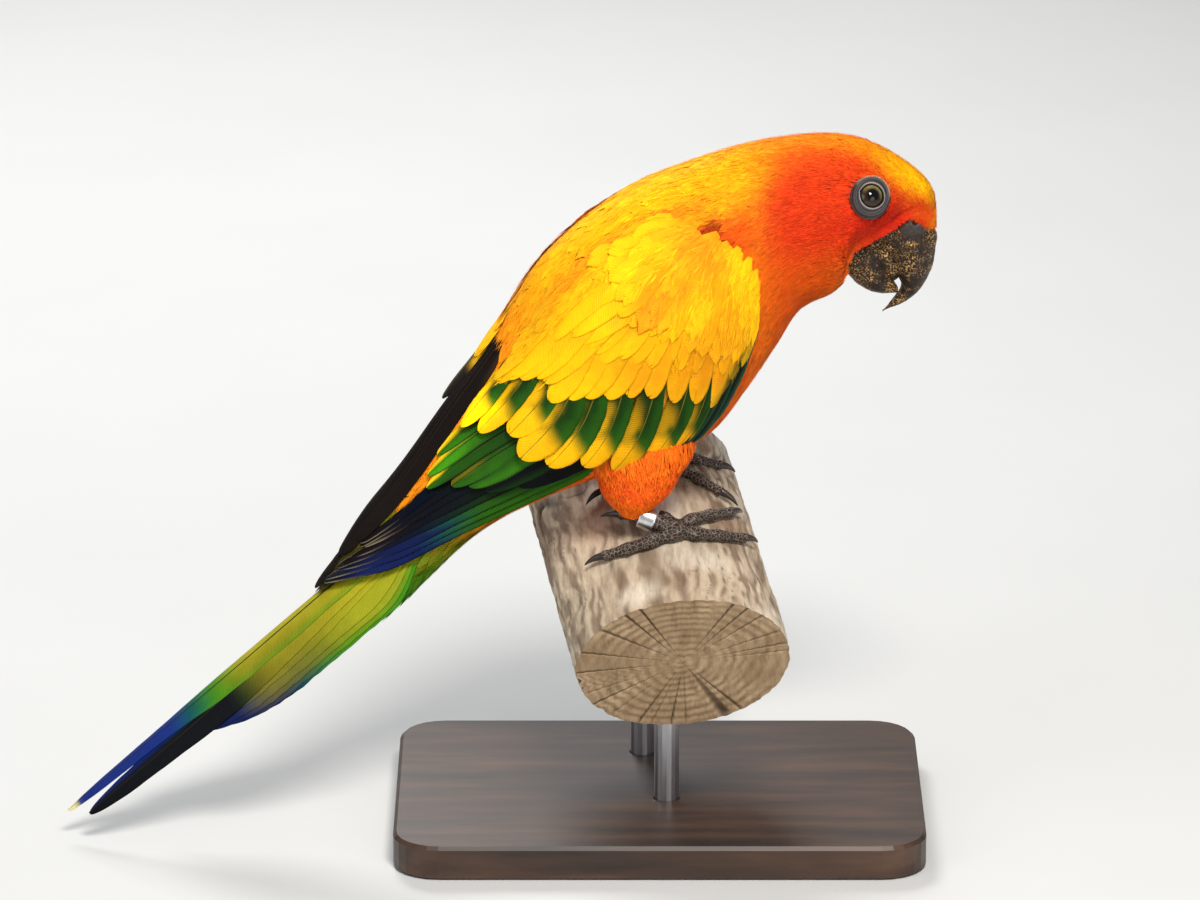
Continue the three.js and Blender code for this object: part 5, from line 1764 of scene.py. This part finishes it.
def perch_end_tone(spin, share):
    """Rings and splits of a sawn end."""
    at = np.stack([np.cos(spin) * share * 9, np.sin(spin) * share * 7, 0 * spin], -1)
    rings = 0.5 + 0.5 * np.sin(share * END_RINGS + 5 * noise(at, 3.1, 58) + 1.5 * noise(at, 0.8, 59))
    colour = mix(tone("7e6549"), tone("b9a080"), 0.35 + 0.5 * rings * ease(noise(at, 2.0, 60), -0.8, 0.6))
    return mix(colour, tone("2a1c12"), 0.8 * end_split(spin, share))


def perch_point(spin, length, share, lift):
    wide, high = PERCH_HALF
    return (PERCH_AT + ((wide * share + lift) * np.cos(spin))[..., None] * PERCH_ACROSS
            + ((high * share + lift) * np.sin(spin))[..., None] * PERCH_UP
            + (length + 0 * spin)[..., None] * PERCH_AXIS)


def perch_material():
    material, tree = shader("driftwood", 0.8, Specular_IOR_Level=0.25)
    grain = speckle(tree, 520.0, 9.0, (1, 0.12, 0.4), 0.7)
    shade = ramp(tree, grain, (0.3, (0.42, 0.38, 0.34)), (0.5, (0.8, 0.78, 0.75)), (0.7, 1))
    return finished(material, blended(tree, 0.8, painted(tree), shade, "MULTIPLY"), grain, 0.7, 0.0006)


def base_material():
    grain = (110.0, 8.0, (0.12, 1, 1), 0.6)
    return grained_material("stand_wood", 0.42, grain, [(0.3, "1f140e"), (0.5, "38251a"), (0.75, "553a28")],
                            grain, 0.2, 0.0002)


# Setting

def floor():
    """Pale floor that sweeps up behind the stand."""
    width, front, rear, bend, height = 4.0, -3.0, 2.8, 0.8, 2.4
    sweep = [(rear + bend * math.sin(a), bend * (1 - math.cos(a))) for a in np.linspace(0, math.pi / 2, 16)]
    profile = [(front, 0.0), *sweep, (rear + bend, height)]
    points = [(x, y, z) for y, z in profile for x in (-width, width)]
    mesh = bpy.data.meshes.new("floor")
    strips = [(k, k + 1, k + 3, k + 2) for k in range(0, len(points) - 2, 2)]
    mesh.from_pydata(points, [], strips)
    mesh.polygons.foreach_set("use_smooth", np.ones(len(mesh.polygons), bool))
    material, tree = shader("floor_paper", 0.9)
    colour = ramp(tree, speckle(tree, 3.0), (0.3, (0.54, 0.54, 0.53)), (0.7, (0.57, 0.57, 0.56)))
    mesh.materials.append(finished(material, colour))
    added("floor", mesh)


def light(name, at, size, power, colour=(1, 1, 1)):
    """Round soft light that points at the middle of the bird."""
    data = bpy.data.lights.new(name, "AREA")
    data.shape = "DISK"
    data.size = size
    data.energy = power
    data.color = colour
    lamp = added(name, data)
    lamp.location = at
    lamp.rotation_mode = "QUATERNION"
    lamp.rotation_quaternion = (Vector(LIT_POINT) - Vector(at)).to_track_quat("-Z", "Y")


def lights():
    light("key", (0.2, -0.85, 1.2), 0.4, 21, (1.0, 0.97, 0.92))
    light("fill", (-1.1, -0.9, 0.6), 0.9, 5, (0.93, 0.96, 1.0))
    light("low", (0.6, -1.1, 0.2), 0.8, 4, (1.0, 0.98, 0.95))
    light("rim", (-0.3, 0.9, 0.9), 0.5, 12)
    world = bpy.data.worlds.new("studio")
    world.use_nodes = True
    colour, strength, *_ = world.node_tree.nodes["Background"].inputs
    colour.default_value = SKY
    strength.default_value = SKY_STRENGTH
    bpy.context.scene.world = world


def camera():
    """Camera level with the photograph's: square to the bird's right side, looking a little down."""
    look = np.array([0, math.cos(CAMERA_DROP), -math.sin(CAMERA_DROP)])
    up = np.array([0, math.sin(CAMERA_DROP), math.cos(CAMERA_DROP)])
    rise = np.array([0, 0, STAND_RISE])
    aside, below = (middle - pixel for middle, pixel in zip(PHOTO_MIDDLE, ORIGIN_PIXEL))
    target = np.array([1.0, 0, 0]) * aside * PIXEL - up * below * PIXEL
    target = target + look * np.dot(np.array(BODY_AT) - rise - target, look)
    place = target - look * CAMERA_AWAY + rise
    data = bpy.data.cameras.new("camera")
    data.sensor_width = 36
    data.lens = data.sensor_width * CAMERA_AWAY / (2 * PHOTO_MIDDLE[0] * PIXEL)
    data.clip_start, data.clip_end = 0.1, 20
    eye = added("camera", data)
    eye.matrix_world = Matrix.Translation(Vector(place * MM)) @ Matrix((
        (1, 0, 0, 0), (0, up[1], -look[1], 0), (0, up[2], -look[2], 0), (0, 0, 0, 1)))
    bpy.context.scene.camera = eye
    bpy.context.scene.view_settings.view_transform = "Standard"


def dress(name, material):
    """Gives a solid of the frame its material."""
    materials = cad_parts[name].data.materials
    materials.clear()
    materials.append(material)


COAT_MATERIAL = feather_material("small_feathers", 9.0, 0.00008, 0.75, 0.12)
VANE_MATERIAL = feather_material("vane_feathers", 11.0, 0.0001, 0.6, 0.08)
SKIN_MATERIAL = skin_material("skin_under_coat", 0.7, 400.0, 1500.0)

camera()
lights()
floor()
skin(SKIN_MATERIAL)
coat_band("coat_head", (0.1, 2.3), (4.4, 1.0), (5.0, 0.15, 11), 100)
face_front(105)
coat_band("coat_neck", (2.3, 4.2), (7.0, 1.8), (7.0, 0.2, 10), 110)
coat_band("coat_body", (4.2, 8.0), (12.0, 3.2), (10.5, 0.1, 8), 120)
coat_band("coat_rump", (8.0, 9.75), (14.0, 3.0), (11.0, 0.0, 8), 130)
crest()
wing(-1, 200)
wing(1, 300)
tail()
ring_skin = skin_material("eye_ring_skin", 0.6, 1800.0, 3000.0)
eye_glass = eye_material()
for eye_side in SIDE_NAMES:
    eyeball(eye_side, eye_glass)
    eyelids(eye_side, ring_skin)
horn = horn_material()
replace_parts(bill_half("bill_upper_horn", UPPER_BILL, 61, horn, 0.4), "bill_upper")
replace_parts(bill_half("bill_lower_horn", LOWER_BILL, 71, horn, 0.0), "bill_lower")
cere(cere_material())
tongue(horn)
for foot_name, (foot_side, foot_drop, _, _) in FEET.items():
    thigh_coat(foot_name, foot_side, foot_drop)
    foot(foot_name, foot_material(), claw_material())
leg_band(metal_material("band_metal", 0.72, 0.3))
perch(perch_material())
for rod_name in ("stand_rod_1", "stand_rod_2"):
    dress(rod_name, metal_material("rod_metal", np.array([0.45, 0.45, 0.47]), 0.35))
dress("stand_base", base_material())
